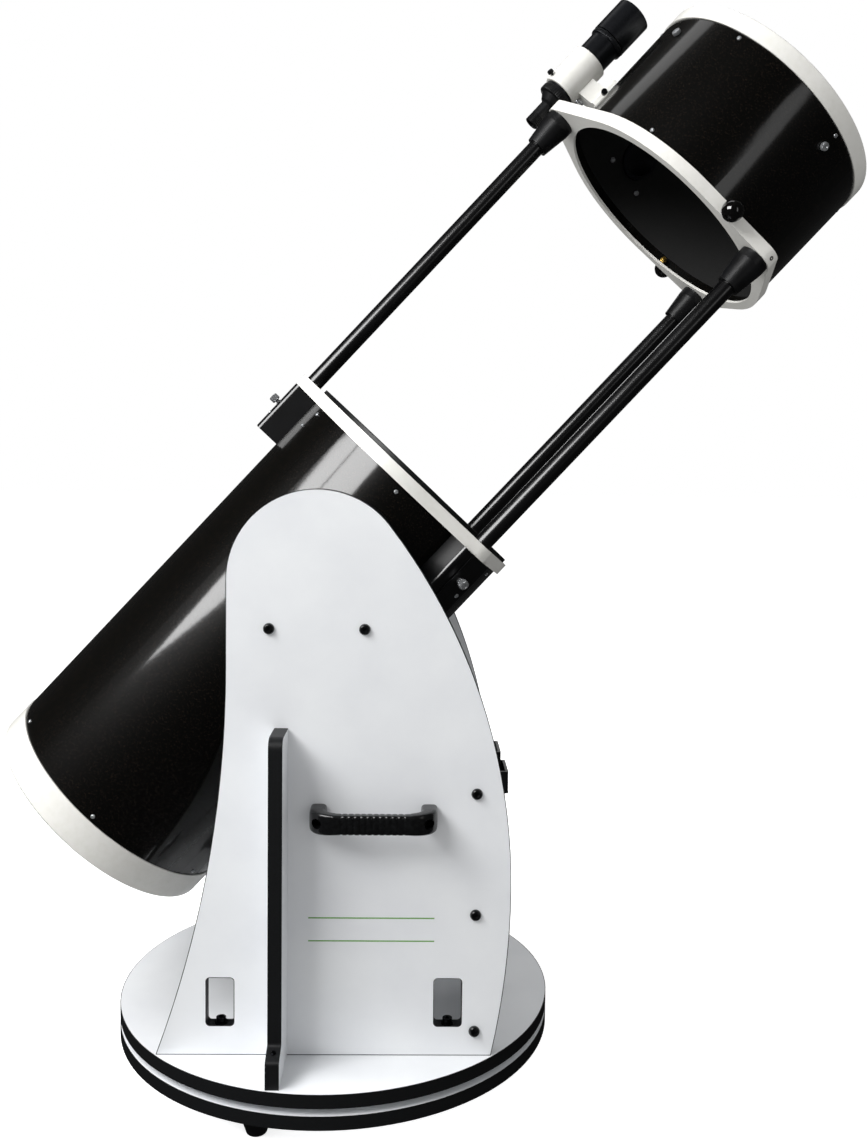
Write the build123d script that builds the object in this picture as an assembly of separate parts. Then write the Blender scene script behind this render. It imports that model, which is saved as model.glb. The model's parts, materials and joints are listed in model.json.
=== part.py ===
from build123d import *
import math
import os

# A 300 mm f/5 collapsible-tube Newtonian on a rocker base. Millimetres, +Z up,
# origin on the floor under the azimuth pivot. The tube points towards +X and up.

# Boards of the base
board_t = 18.0              # every board is cut from the same sheet
edging_t = 1.0              # plastic band glued round the board edges
deck_rim = 10.0             # round boards past the gusset feet
bearing_gap = 10.0          # clear height between the two round boards

# Feet under the ground board
foot_h = 32.0
foot_top_r = 24.0
foot_bottom_r = 13.0
foot_inset = 38.0           # foot centres from the edge of the board
foot_count = 3
foot_first_deg = -107.0
foot_hole_r = 3.0           # fixing hole up the middle of each foot
foot_hole_depth = 24.0
foot_edge_r = 3.0

# Azimuth roller bearing and pivot
race_in_r = 128.0
race_out_r = 164.0
race_t = 1.8
roller_gap = 0.3            # roller to race, above and below
roller_count = 24
roller_len = 22.0
cage_plate_t = 2.4
pocket_gap = 0.4            # roller to its pocket in the cage plate
pivot_r = 6.0
pivot_head_r = 11.0
pivot_head_t = 8.0
pivot_bush_r = 12.0
pivot_fit = 0.05            # bolt to bush, radial
pivot_bush_lip = 3.0        # bush above the deck
nut_r = 10.0                # across corners
nut_t = 8.0
nut_gap = 0.5               # nut to bush

# Side panels, seen from the side
alt_x = -12.0               # altitude axis
alt_over_deck = 635.0
head_r = 119.0              # round head, concentric with the altitude axis
panel_back_x = -223.3       # bottom corners
panel_front_x = 222.6
belly_x = 247.0             # where the front edge is upright
belly_over_deck = 225.0
back_straight_over_deck = 519.0
slot_w = 36.5               # pockets over the hold-down bolts
slot_h = 64.5
slot_sill = 40.0
slot_r = 5.0
slot_back_x = -138.0
slot_front_x = 164.3

# Front board and its screws
front_board_x = 200.0
front_board_h = 405.0
front_screw_over_deck = (33.4, 191.3, 354.0)
cap_r = 7.5                 # black caps of the panel screws
cap_h = 5.0
cap_round_r = 3.0
screw_r = 2.5
screw_len = 50.0
cradle_screw_bite = 10.0    # past the panel, into the cradle
screw_end_gap = 1.0         # screw tip to the bottom of its hole
bolt_r = 4.0
bolt_head_r = 6.5
bolt_head_h = 6.0
hex_key_r = 3.2
washer_r = 9.0
washer_t = 1.6
bolt_bite = 14.0            # how far a hold-down bolt goes into the deck
hole_gap = 0.25             # fixed screws and bolts in their holes, radial

# Gussets
gusset_x = -58.0
gusset_h = 440.0
gusset_depth = 60.0
gusset_foot_depth = 84.0
gusset_foot_h = 35.0
gusset_step_h = 10.0
gusset_corner_r = 14.0
gusset_step_r = 6.0

# Carrying handles
handle_x = 64.5
handle_over_deck = 325.0
handle_len = 167.0
handle_h = 30.0
handle_stand_off = 46.0
handle_foot_len = 22.0
handle_grip_t = 14.0
handle_outer_r = 16.0
handle_inner_r = 8.0
handle_edge_r = 3.0

# Altitude bearing
journal_r = 50.0
trunnion_flange_w = 10.0    # flange past the journal
trunnion_flange_out = 6.5   # flange face past the tube
journal_end_gap = 2.0       # journal end to the panel
journal_edge_r = 1.5
cradle_fit = 0.1            # journal to cradle, radial
cradle_side_w = 28.0        # cradle past the journal, beside and below it
cradle_foot_w = 34.0
cradle_t = 16.5
cradle_gap = 1.5            # cradle to trunnion flange
cradle_screw_x = 62.6
cradle_screw_below = 64.0
cradle_foot_r = 10.0

# Encoder housing and handset holder
encoder_size = (150.0, 110.0, 46.0)
encoder_wall = 3.0
encoder_corner_r = 12.0
encoder_top_r = 4.0
holder_y = -100.0
holder_w = 64.0
holder_back_t = 5.0
holder_low = 318.0          # heights over the deck
holder_high = 392.0
holder_cup_z = 331.0
holder_cup_h = 27.0
holder_cup_reach = 40.0
holder_loop_z = 369.0
holder_loop_h = 17.0
holder_loop_reach = 29.0
holder_wall = 4.0
holder_edge_r = 3.0
holder_corner_r = 6.0

# Optical tube. Lengths along the tube are measured from the altitude axis.
tube_tilt_deg = 47.06
tube_wall = 1.5
tube_clearance = 29.5       # mirror to the inside of the tube, all round
stave_count = 8             # each tube's shell is rolled from this many strips
stave_first_deg = -82.5     # first seam, clear of every hole
rear_end = -500.0
rear_ring_h = 44.6
end_ring_wall = 1.8         # rear and front rings over the tube
rear_flange_t = 6.0
rear_flange_in = 16.0       # flange inside the tube
rear_skirt_t = 6.0
rear_edge_r = 2.5
mid_ring_at = 163.5         # lower face
ring_t = 18.0
ring_wall = 6.5             # middle and lower cage rings over the tube
tube_lip = 5.5              # lower tube stands this far out of the middle ring
cage_at = 714.0             # lower face of the cage's lower ring
cage_len = 224.0
front_ring_h = 24.0
front_ring_lip_in = 5.0     # lips inside the tube
front_ring_lip_t = 4.0
front_edge_r = 1.5
cage_flange_in = 6.3
cage_flange_t = 4.0
seat_gap = 0.1              # rings to tubes, radial
block_root = 40.0           # blocks start this far inside a tube and are then cut to it

# Sliding struts
strut_angles = {"top": 0.0, "near": 129.0, "far": -129.0}
strut_r = 12.5
strut_gap = 9.0             # strut to the outside of the tube
strut_wall = 1.5
strut_tail_at = 95.0        # lower strut ends, tube extended
strut_fit = 0.08            # strut to housing bore, radial
ear_wall = 6.5              # middle ring round a strut
ear_gap = 0.6               # strut to its hole in the middle ring
housing_len = 85.0
housing_w = 60.0
housing_wall = 3.5          # outside of a strut
housing_rib_w = 26.0
housing_rib_h = 2.0
housing_corner_r = 7.0
lock_below = 38.7           # lock screw below the middle ring
lock_thread_r = 3.0
lock_collar_r = 4.5
lock_head_r = 6.5
lock_head_len = 9.0
lock_neck_len = 5.0
lock_tip_gap = 0.4
lock_collar_gap = 0.5
lock_collar_t = 2.0
lock_edge_r = 1.2
lock_fit = 0.06
cage_ear_wall = 11.5
socket_big_wall = 9.5
socket_small_wall = 4.0
socket_len = 52.0
socket_grip = 12.0          # straight collar next to the ring
strut_cover = 4.0           # ring left over the upper strut ends
grab_angle = 107.0
grab_ball_r = 15.0
grab_stem_r = 4.0
grab_stem_len = 0.6         # shows between the ring and the ball

# Primary mirror and its cell
mirror_r = 152.5
mirror_t = 38.0
mirror_bevel = 1.0
focal_len = 1500.0
cell_plate_rim = 10.5       # plate past the mirror
cell_plate_t = 8.0
cell_plate_up = 48.0        # heights above the back of the tube
cell_vent_r = 30.0
cell_vent_in = 51.5         # vents, pads and knobs from the mirror's edge
cell_pad_t = 2.0
cell_pad_r = 11.0
cell_pad_in = 38.5
spoke_up = 18.0
spoke_t = 9.0
spoke_w = 34.0
spoke_hub_r = 42.0
boss_r = 17.0
collimation_in = 40.5
collimation_screw_r = 3.0
collimation_fit = 0.06
collimation_screw_short = 1.0   # screw end below the top of the cell plate
knob_r = 13.0
knob_len = 13.0
knob_gap = 1.0
knob_edge_r = 1.5
spring_r = 7.5
spring_wire_r = 0.9
spring_turns = 5
spring_seat = 1.1           # wire centre to its seat
clip_w = 16.0
clip_t = 3.0
clip_over = 5.0
clip_gap = 0.5

# Spider and secondary mirror
spider_below = 54.0         # below the front of the cage
vane_angles = (30.0, 120.0, 210.0, 300.0)
vane_t = 1.2
vane_h = 26.0
hub_r = 19.0
hub_h = 34.0
vane_stud_r = 2.5
vane_knob_r = 6.0
vane_knob_len = 6.0
vane_knob_round_r = 1.5
vane_stud_grip = 8.0        # stud inside the tube wall
vane_stud_fit = 0.1
lug_len = 12.0              # block at the end of each vane
lug_half_w = 4.0
lug_half_h = 8.0
hub_screw_r = 3.0
hub_screw_fit = 0.2
secondary_r = 35.0
secondary_t = 10.0
secondary_up = 94.0         # optical axis of the focuser, above the cage's lower end
holder_r = 33.0
holder_len = 38.0           # holder above the optical axis
stalk_r = 9.0

# Focuser
focuser_angle = -60.0
focuser_plate_rim = 5.0     # square base plate round the body
focuser_plate_t = 12.0
focuser_corner_r = 10.0
focuser_body_wall = 8.0
focuser_body_top_up = 62.5  # heights over the cage tube
drawtube_r = 31.0
drawtube_fit = 0.08
barrel_r = 25.4             # two-inch eyepiece barrel
barrel_fit = 0.05
drawtube_inner_down = 7.5
drawtube_outer_up = 78.5
collar_wall = 5.0
collar_len = 20.0
collar_edge_r = 1.5
pinion_gap = 12.0           # pinion axle below the drawtube's wall
pinion_up = 38.5
axle_r = 4.0
axle_fit = 0.06
focus_knob_r = 19.0
focus_knob_len = 17.0
focus_knob_edge_r = 2.0
focus_knob_at = 34.0
pinion_block_w = 56.0
pinion_block_r = 13.0
tube_hole_gap = 0.8

# Finder
finder_angle = -13.4
finder_up = 66.3            # finder axis over the cage tube
finder_tube_r = 25.0
finder_tube_wall = 1.5
finder_bracket_wall = 4.3
finder_bracket_up = 48.0    # places above the cage's lower end
finder_bracket_len = 66.5
finder_tube_past = 45.5     # tube above its bracket
finder_bracket_gap = 0.1
dew_over = 3.7              # shield over the tube
dew_grip = 4.5              # shield on the tube
dew_len = 54.5
dew_wall = 1.6
dew_step = 4.0
lens_t = 9.0
finder_collar_below = 26.0  # below the bracket
finder_collar_over = 1.4
finder_neck_r = 15.0
finder_eyepiece_r = 10.9
finder_eye_len = 38.5
finder_eye_lens_r = 7.0
shoe_up = 61.0
shoe_len = 48.0
shoe_w = 38.0
shoe_h = 12.5
shoe_slot_w = 26.0
shoe_slot_depth = 6.0
shoe_edge_r = 2.5
stem_len = 30.0
stem_fit = 0.3
stem_inset = 1.0            # stem to the lower end of its shoe
finder_edge_r = 1.5
finder_tube_tail = 4.0      # tube below its bracket
lens_inset = 2.0
lens_seat = 0.05
finder_cone_h = 10.0
finder_cone_step = 4.0
finder_eye_cup_depth = 6.0
finder_knob_r = 4.6
finder_knob_len = 5.0
finder_knob_up = 7.0        # above the lower end of the bracket
finder_knob_stem_r = 1.8
finder_knob_out = 3.0

# Small tube screws
button_r = 3.2
button_h = 1.6
button_round_r = 1.0
button_seat = 0.05          # head to the surface under it
tube_buttons = (            # angle round the tube, distance below the middle ring
    (28.5, 10.5), (24.3, 36.5), (88.6, 10.5),
    (-28.5, 10.5), (-24.3, 36.5), (-88.6, 10.5),
    (160.0, 10.5), (-160.0, 10.5),
)
end_button_gap = 7.5        # screws of the end rings past the rings' edges
rear_buttons = (6, 30.0)    # how many, and the first angle
cage_buttons = (6, 61.0)

# Radii and widths that follow the mirror, the tube, the struts and the drawtube
tube_in_r = mirror_r + tube_clearance
tube_r = tube_in_r + tube_wall
end_ring_r = tube_r + end_ring_wall
ring_r = tube_r + ring_wall
rear_flange_r = tube_in_r - rear_flange_in
front_ring_lip_r = tube_in_r - front_ring_lip_in
cage_opening_r = tube_in_r - cage_flange_in
cell_plate_r = mirror_r + cell_plate_rim
cell_vent_circle_r = mirror_r - cell_vent_in
cell_pad_circle_r = mirror_r - cell_pad_in
collimation_circle_r = mirror_r - collimation_in
strut_circle_r = tube_r + strut_gap + strut_r
ear_r = strut_r + ear_wall
cage_ear_r = strut_r + cage_ear_wall
socket_big_r = strut_r + socket_big_wall
socket_small_r = strut_r + socket_small_wall
housing_out_r = strut_circle_r + strut_r + housing_wall
focuser_body_r = drawtube_r + focuser_body_wall
focuser_plate = 2 * (focuser_body_r + focuser_plate_rim)
focuser_body_top = tube_r + focuser_body_top_up
drawtube_inner_end = tube_r - drawtube_inner_down
drawtube_outer_end = tube_r + drawtube_outer_up
collar_r = drawtube_r + collar_wall
pinion_drop = drawtube_r + pinion_gap
pinion_height = tube_r + pinion_up
finder_circle_r = tube_r + finder_up
finder_bracket_r = finder_tube_r + finder_bracket_wall
dew_r = finder_tube_r + dew_over
finder_collar_r = finder_tube_r + finder_collar_over
shoe_top_r = tube_r + shoe_h
trunnion_flange_r = journal_r + trunnion_flange_w
trunnion_flange_y = tube_r + trunnion_flange_out
cradle_half_w = journal_r + cradle_side_w
cradle_below = journal_r + cradle_foot_w
panel_in_y = trunnion_flange_y + cradle_gap + cradle_t
panel_out_y = panel_in_y + board_t
base_r = panel_out_y + gusset_foot_depth + deck_rim     # round boards, over the edging
foot_circle_r = base_r - foot_inset

# Heights, and places along the tube
ground_z = foot_h
bearing_z = ground_z + board_t
deck_under = bearing_z + bearing_gap
deck_z = deck_under + board_t
alt_z = deck_z + alt_over_deck
tilt = math.radians(tube_tilt_deg)
tube_frame = Plane(
    origin=(alt_x, 0, alt_z),
    x_dir=(-math.sin(tilt), 0, math.cos(tilt)),
    z_dir=(math.cos(tilt), 0, math.sin(tilt)),
)
cage_end = cage_at + cage_len
mid_ring_top = mid_ring_at + ring_t
tube_top = mid_ring_top + tube_lip
tube_bottom = rear_end + rear_flange_t
cage_tube_from = cage_at + cage_flange_t
cage_tube_to = cage_end - front_ring_lip_t
lock_at = mid_ring_at - lock_below
cell_plate_at = rear_end + cell_plate_up
spoke_at = rear_end + spoke_up
spider_at = cage_end - spider_below
secondary_at = cage_at + secondary_up
holder_top = secondary_at + holder_len
shoe_from = cage_at + shoe_up
finder_bracket_from = cage_at + finder_bracket_up
finder_bracket_to = finder_bracket_from + finder_bracket_len
finder_tube_to = finder_bracket_to + finder_tube_past
dew_from = finder_tube_to - dew_grip
dew_to = dew_from + dew_len
finder_collar_from = finder_bracket_from - finder_collar_below
finder_eyepiece_from = finder_collar_from - finder_eye_len
finder_knob_at = finder_bracket_from + finder_knob_up


def rod(radius, low, high, x=0.0, y=0.0):
    """Solid round bar along the local Z, from low to high."""
    return Pos(x, y, (low + high) / 2) * Cylinder(radius, high - low)


def pipe(outer, inner, low, high, x=0.0, y=0.0):
    return rod(outer, low, high, x, y) - rod(inner, low - 1, high + 1, x, y)


def block(x0, x1, y0, y1, z0, z1):
    return Pos((x0 + x1) / 2, (y0 + y1) / 2, (z0 + z1) / 2) * Box(x1 - x0, y1 - y0, z1 - z0)


def circle_points(radius, angles):
    return [(radius * math.cos(math.radians(a)), radius * math.sin(math.radians(a))) for a in angles]


def spread(count, first=0.0):
    return [first + 360.0 * i / count for i in range(count)]


def radial_frame(angle, radius, along):
    """Plane on a tube: Z points out of the tube, X points up along it."""
    c = math.cos(math.radians(angle))
    s = math.sin(math.radians(angle))
    return Plane(origin=(radius * c, radius * s, along), x_dir=(0, 0, 1), z_dir=(c, s, 0))


def group(shapes):
    return Compound(children=[s for shape in shapes for s in shape.solids()])


nodes = {}


def keep(name, shape):
    nodes[name] = shape


def keep_on_tube(name, shape):
    nodes[name] = tube_frame.location * shape


# Ground assembly

def foot_centres():
    return circle_points(foot_circle_r, spread(foot_count, foot_first_deg))


def ground_board():
    disc = rod(base_r - edging_t, ground_z, bearing_z)
    disc -= rod(pivot_r + hole_gap, ground_z - 1, bearing_z + 1)
    return disc


def board_band(low, high):
    return pipe(base_r, base_r - edging_t, low, high)


def foot(x, y):
    cup = Pos(x, y, foot_h / 2) * Cone(foot_bottom_r, foot_top_r, foot_h)
    cup = fillet(cup.edges().sort_by(Axis.Z)[0], foot_edge_r)
    return cup - rod(foot_hole_r, -1, foot_hole_depth, x, y)


def race(low):
    return pipe(race_out_r, race_in_r, low, low + race_t)


def roller_radius():
    return (bearing_gap - 2 * race_t - 2 * roller_gap) / 2


def rollers():
    middle = bearing_z + bearing_gap / 2
    mean_r = (race_in_r + race_out_r) / 2
    bars = []
    for angle in spread(roller_count):
        bar = Pos(mean_r, 0, middle) * Rot(0, 90, 0) * Cylinder(roller_radius(), roller_len)
        bars.append(Rot(0, 0, angle) * bar)
    return bars


def roller_cage():
    middle = bearing_z + bearing_gap / 2
    plate = pipe(race_out_r, race_in_r, middle - cage_plate_t / 2, middle + cage_plate_t / 2)
    mean_r = (race_in_r + race_out_r) / 2
    pocket = Pos(mean_r, 0, middle) * Box(
        roller_len + 2 * pocket_gap, 2 * (roller_radius() + pocket_gap), bearing_gap)
    for angle in spread(roller_count):
        plate -= Rot(0, 0, angle) * pocket
    return plate


def pivot_bolt():
    nut_low = deck_z + pivot_bush_lip + nut_gap
    bolt = rod(pivot_r, ground_z, nut_low + nut_t + 2.0)
    bolt += rod(pivot_head_r, ground_z - pivot_head_t, ground_z)
    nut = extrude(RegularPolygon(nut_r, 6), nut_t)
    return bolt + Pos(0, 0, nut_low) * nut


def pivot_bush():
    return pipe(pivot_bush_r, pivot_r + pivot_fit, deck_under, deck_z + pivot_bush_lip)


# Rocker

def deck():
    disc = rod(base_r - edging_t, deck_under, deck_z)
    disc -= rod(pivot_bush_r + hole_gap, deck_under - 1, deck_z + 1)
    for x, y in bolt_places():
        disc -= rod(bolt_r + hole_gap, deck_z - bolt_bite - 1, deck_z + 1, x, y)
    return disc


def bolt_places():
    mid_y = panel_out_y - board_t / 2
    return [(x, side * mid_y) for x in (slot_back_x, slot_front_x) for side in (-1, 1)]


def arc(x, z, radius, start, end):
    """Arc in the side view about (x, z), between two directions given as points."""
    first = math.degrees(math.atan2(start[1] - z, start[0] - x))
    last = math.degrees(math.atan2(end[1] - z, end[0] - x))
    return CenterArc((x, z), radius, first, (last - first + 180) % 360 - 180)


def panel_outline(inset=0.0):
    """Side view of a panel; an inset keeps every arc's centre, so the band is even."""
    belly_z = deck_z + belly_over_deck
    back_z = deck_z + back_straight_over_deck
    low_z = deck_z + inset
    top_r = head_r - inset
    back_x = alt_x - top_r
    front_x = belly_x - inset
    rise = alt_z - belly_z
    brow_r = ((belly_x - alt_x) ** 2 + rise ** 2 - head_r ** 2) / (2 * (belly_x - head_r - alt_x))
    brow_x = belly_x - brow_r
    slope = math.hypot(alt_x - brow_x, rise)
    join = (alt_x + (alt_x - brow_x) / slope * top_r, alt_z + rise / slope * top_r)
    front_run = belly_x - panel_front_x
    chin_r = (front_run ** 2 + belly_over_deck ** 2) / (2 * front_run)
    chin_x = belly_x - chin_r
    front = (chin_x + math.sqrt((chin_r - inset) ** 2 - (low_z - belly_z) ** 2), low_z)
    back_run = alt_x - head_r - panel_back_x
    heel_r = (back_run ** 2 + back_straight_over_deck ** 2) / (2 * back_run)
    heel_x = alt_x - head_r - heel_r
    back = (heel_x + math.sqrt((heel_r + inset) ** 2 - (low_z - back_z) ** 2), low_z)
    crown = (alt_x, alt_z + top_r)
    lines = [
        arc(chin_x, belly_z, chin_r - inset, front, (front_x, belly_z)),
        arc(brow_x, belly_z, brow_r - inset, (front_x, belly_z), join),
        arc(alt_x, alt_z, top_r, join, crown),
        arc(alt_x, alt_z, top_r, crown, (back_x, alt_z)),
        Line((back_x, alt_z), (back_x, back_z)),
        arc(heel_x, back_z, heel_r + inset, (back_x, back_z), back),
        Line(back, front),
    ]
    return make_face(lines)


def slots(grow=0.0):
    middle_z = deck_z + slot_sill + slot_h / 2
    slot = RectangleRounded(slot_w + 2 * grow, slot_h + 2 * grow, slot_r + grow)
    return [Pos(x, middle_z) * slot for x in (slot_back_x, slot_front_x)]


def side_panel(side):
    core = panel_outline(edging_t)
    for hole in slots(edging_t):
        core -= hole
    panel = slab(core, side)
    for x, y in bolt_places():
        if y * side > 0:
            panel -= rod(bolt_r + hole_gap, deck_z - 1, deck_z + slot_sill + 1, x, y)
    for x, z in panel_screw_places():
        panel -= Pos(x, side * panel_out_y, z) * Rot(90, 0, 0) * Cylinder(screw_r + hole_gap, 3 * board_t)
    return panel


def slab(face, side):
    """Stands a side-view face up as one board of the left or right side panel."""
    if side < 0:
        return extrude(Plane.XZ.offset(panel_in_y) * face, board_t)
    return extrude(Plane.XZ.offset(-panel_out_y) * face, board_t)


def panel_bands(side):
    """Edging round the panel and inside its two pockets."""
    bands = [slab(panel_outline() - panel_outline(edging_t), side)]
    bands += [slab(outer - inner, side) for outer, inner in zip(slots(edging_t), slots())]
    drills = [rod(bolt_r + hole_gap, deck_z - 1, deck_z + slot_sill + 1, x, y) for x, y in bolt_places()]
    return [band - drills for band in bands]


def panel_screw_places():
    places = [(front_board_x, deck_z + h) for h in front_screw_over_deck]
    places += [(alt_x + s * cradle_screw_x, alt_z - cradle_screw_below) for s in (-1, 1)]
    return places


def panel_screw(x, z, side, length):
    head = Pos(0, 0, cap_h / 2) * Cylinder(cap_r, cap_h)
    head = fillet(head.edges().sort_by(Axis.Z)[-1], cap_round_r)
    screw = head + Pos(0, 0, -length / 2) * Cylinder(screw_r, length)
    return Pos(x, side * panel_out_y, z) * Rot(-90 * side, 0, 0) * screw


def panel_screws():
    screws = []
    for side in (-1, 1):
        for x, z in panel_screw_places():
            into_front = x == front_board_x
            length = screw_len if into_front else board_t + cradle_screw_bite
            screws.append(panel_screw(x, z, side, length))
    return screws


def front_board():
    half_t = board_t / 2
    top = deck_z + front_board_h
    board = block(front_board_x - half_t, front_board_x + half_t, -panel_in_y, panel_in_y,
                  deck_z, top - edging_t)
    for h in front_screw_over_deck:
        bore = Pos(front_board_x, 0, deck_z + h) * Rot(90, 0, 0) * Cylinder(
            screw_r + hole_gap, 2 * panel_in_y + 2)
        plug = block(front_board_x - half_t, front_board_x + half_t, -inner_screw_y(), inner_screw_y(),
                     deck_z + h - half_t, deck_z + h + half_t)
        board -= bore - plug
    return board


def inner_screw_y():
    return panel_out_y - screw_len - screw_end_gap


def front_band():
    half_t = board_t / 2
    top = deck_z + front_board_h
    return block(front_board_x - half_t, front_board_x + half_t, -panel_in_y, panel_in_y,
                 top - edging_t, top)


def gusset_face(inset):
    """Outline in the Y-Z plane, y measured outwards from the panel."""
    step_z = gusset_foot_h + gusset_step_h
    foot_y = gusset_foot_depth - inset
    upper_y = gusset_depth - inset
    points = [(0, inset), (foot_y, inset), (foot_y, gusset_foot_h),
              (upper_y, step_z), (upper_y, gusset_h - inset), (0, gusset_h - inset)]
    face = make_face(Polyline(*points, close=True))
    corner = face.vertices().group_by(Axis.Y)[-1].sort_by(Axis.X)[-1]
    face = fillet(corner, gusset_corner_r - inset)
    outer = face.vertices().filter_by(lambda v: abs(v.Y - gusset_foot_h) < 0.01)
    inner = face.vertices().filter_by(lambda v: abs(v.Y - step_z) < 0.01)
    return fillet(outer + inner, gusset_step_r)


def gusset_slab(face, side):
    frame = Plane(origin=(gusset_x - side * board_t / 2, side * panel_out_y, deck_z),
                  x_dir=(0, side, 0), z_dir=(side, 0, 0))
    return extrude(frame * face, board_t)


def gusset(side):
    return gusset_slab(gusset_face(edging_t) + bottom_strip(), side)


def bottom_strip():
    return Pos((gusset_foot_depth - edging_t) / 2, edging_t / 2) * Rectangle(
        gusset_foot_depth - edging_t, edging_t)


def gusset_band(side):
    return gusset_slab(gusset_face(0.0) - gusset_face(edging_t) - bottom_strip(), side)


def handle(side):
    half = handle_len / 2
    outer = Pos(0, handle_stand_off / 2) * Rectangle(handle_len, handle_stand_off)
    outer = fillet(outer.vertices().group_by(Axis.Y)[-1], handle_outer_r)
    gap_w = handle_len - 2 * handle_foot_len
    gap_h = handle_stand_off - handle_grip_t
    gap = Pos(0, gap_h / 2) * Rectangle(gap_w, gap_h)
    gap = fillet(gap.vertices().group_by(Axis.Y)[-1], handle_inner_r)
    bow = extrude(outer - gap, handle_h / 2, both=True)
    rims = bow.edges().filter_by(Plane.XY)
    bow = fillet(rims.filter_by(lambda e: e.center().Y > handle_stand_off - handle_grip_t),
                 handle_edge_r)
    for x in (-half + handle_foot_len / 2, half - handle_foot_len / 2):
        bow -= Pos(x, 0, 0) * Rot(90, 0, 0) * Cylinder(screw_r, 20.0)
    stand = Plane(origin=(handle_x, side * panel_out_y, deck_z + handle_over_deck),
                  x_dir=(1, 0, 0), z_dir=(0, 0, side))
    return stand.location * bow


def hold_down_bolt(x, y):
    sill = deck_z + slot_sill
    bolt = rod(bolt_r, deck_z - bolt_bite, sill + washer_t, x, y)
    bolt += rod(washer_r, sill, sill + washer_t, x, y)
    head = rod(bolt_head_r, sill + washer_t, sill + washer_t + bolt_head_h, x, y)
    socket_at = Pos(x, y, sill + washer_t + bolt_head_h / 2)
    socket = extrude(socket_at * RegularPolygon(hex_key_r, 6), bolt_head_h)
    return bolt + (head - socket)


def cradle(side):
    y0 = trunnion_flange_y + cradle_gap
    saddle = block(-cradle_half_w, cradle_half_w, y0, panel_in_y, -cradle_below, 0)
    saddle = fillet(saddle.edges().filter_by(Axis.Y).group_by(Axis.Z)[0], cradle_foot_r)
    saddle -= Rot(90, 0, 0) * Cylinder(journal_r + cradle_fit, 4 * panel_in_y)
    for s in (-1, 1):
        hole = Pos(s * cradle_screw_x, panel_in_y, -cradle_screw_below) * Rot(90, 0, 0)
        saddle -= hole * Cylinder(screw_r + hole_gap, 2 * (cradle_screw_bite + screw_end_gap))
    if side < 0:
        saddle = mirror(saddle, Plane.XZ)
    return Pos(alt_x, 0, alt_z) * saddle


def encoder_housing():
    length, width, height = encoder_size
    shell = Pos(0, 0, deck_z + height / 2) * Box(length, width, height)
    shell = fillet(shell.edges().filter_by(Axis.Z), encoder_corner_r)
    shell = fillet(shell.faces().sort_by(Axis.Z)[-1].edges(), encoder_top_r)
    inner = Pos(0, 0, deck_z + (height - encoder_wall) / 2) * Box(
        length - 2 * encoder_wall, width - 2 * encoder_wall, height - encoder_wall)
    return shell - inner


def handset_holder():
    face_x = front_board_x + board_t / 2
    half = holder_w / 2
    y0 = holder_y - half
    y1 = holder_y + half
    plate = block(face_x, face_x + holder_back_t, y0, y1, deck_z + holder_low, deck_z + holder_high)
    plate = fillet(plate.edges().filter_by(Axis.X), holder_corner_r)
    cup = arm(face_x, y0, y1, holder_cup_z, holder_cup_h, holder_cup_reach)
    cup += block(face_x, face_x + holder_cup_reach, y0, y1,
                 deck_z + holder_cup_z - holder_wall, deck_z + holder_cup_z)
    loop = arm(face_x, y0, y1, holder_loop_z, holder_loop_h, holder_loop_reach)
    return plate + cup + loop


def arm(face_x, y0, y1, low, height, reach):
    outer = block(face_x, face_x + reach, y0, y1, deck_z + low, deck_z + low + height)
    outer = fillet(outer.edges().filter_by(Axis.Z).group_by(Axis.X)[-1], holder_edge_r)
    inner = block(face_x + holder_back_t, face_x + reach - holder_wall, y0 + holder_wall,
                  y1 - holder_wall, deck_z + low - 1, deck_z + low + height + 1)
    return outer - inner


# Lower tube, in the frame of the tube

def staves(low, high, holes=()):
    """Shell of a tube as its rolled strips, edge to edge."""
    strips = []
    for start in spread(stave_count, stave_first_deg):
        outer = CenterArc((0, 0), tube_r, start, 360.0 / stave_count)
        inner = CenterArc((0, 0), tube_in_r, start, 360.0 / stave_count)
        face = make_face([outer, Line(outer @ 1, inner @ 1), inner, Line(inner @ 0, outer @ 0)])
        strip = Pos(0, 0, low) * extrude(face, high - low)
        for hole in holes:
            strip -= hole
        strips.append(strip)
    return group(strips)


def lower_tube():
    return staves(tube_bottom, tube_top)


def arms_outline(reach, half_w):
    face = Circle(spoke_hub_r)
    for angle in spread(3):
        spoke = Pos(reach / 2, 0) * Rectangle(reach, 2 * half_w)
        face += Rot(0, 0, angle) * spoke
    return face


def rear_ring():
    top = rear_end + rear_ring_h
    ring = pipe(end_ring_r, tube_r + seat_gap, rear_end, top)
    ring += pipe(end_ring_r, rear_flange_r, rear_end, rear_end + rear_flange_t)
    ring = fillet(ring.edges().filter_by(GeomType.CIRCLE).group_by(Axis.Z)[0].sort_by(
        lambda e: e.radius)[-1], rear_edge_r)
    skirt_r = rear_flange_r + rear_skirt_t
    ring += pipe(skirt_r, rear_flange_r, rear_end, spoke_at + spoke_t)
    arms = extrude(arms_outline(rear_flange_r + 1.0, spoke_w / 2), spoke_t)
    ring += Pos(0, 0, spoke_at) * arms
    for x, y in collimation_places():
        ring += rod(boss_r, spoke_at, spoke_at + spoke_t, x, y)
        ring -= rod(collimation_screw_r + collimation_fit, spoke_at - 1, spoke_at + spoke_t + 1, x, y)
    return ring


def collimation_places():
    return circle_points(collimation_circle_r, spread(3))


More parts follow.
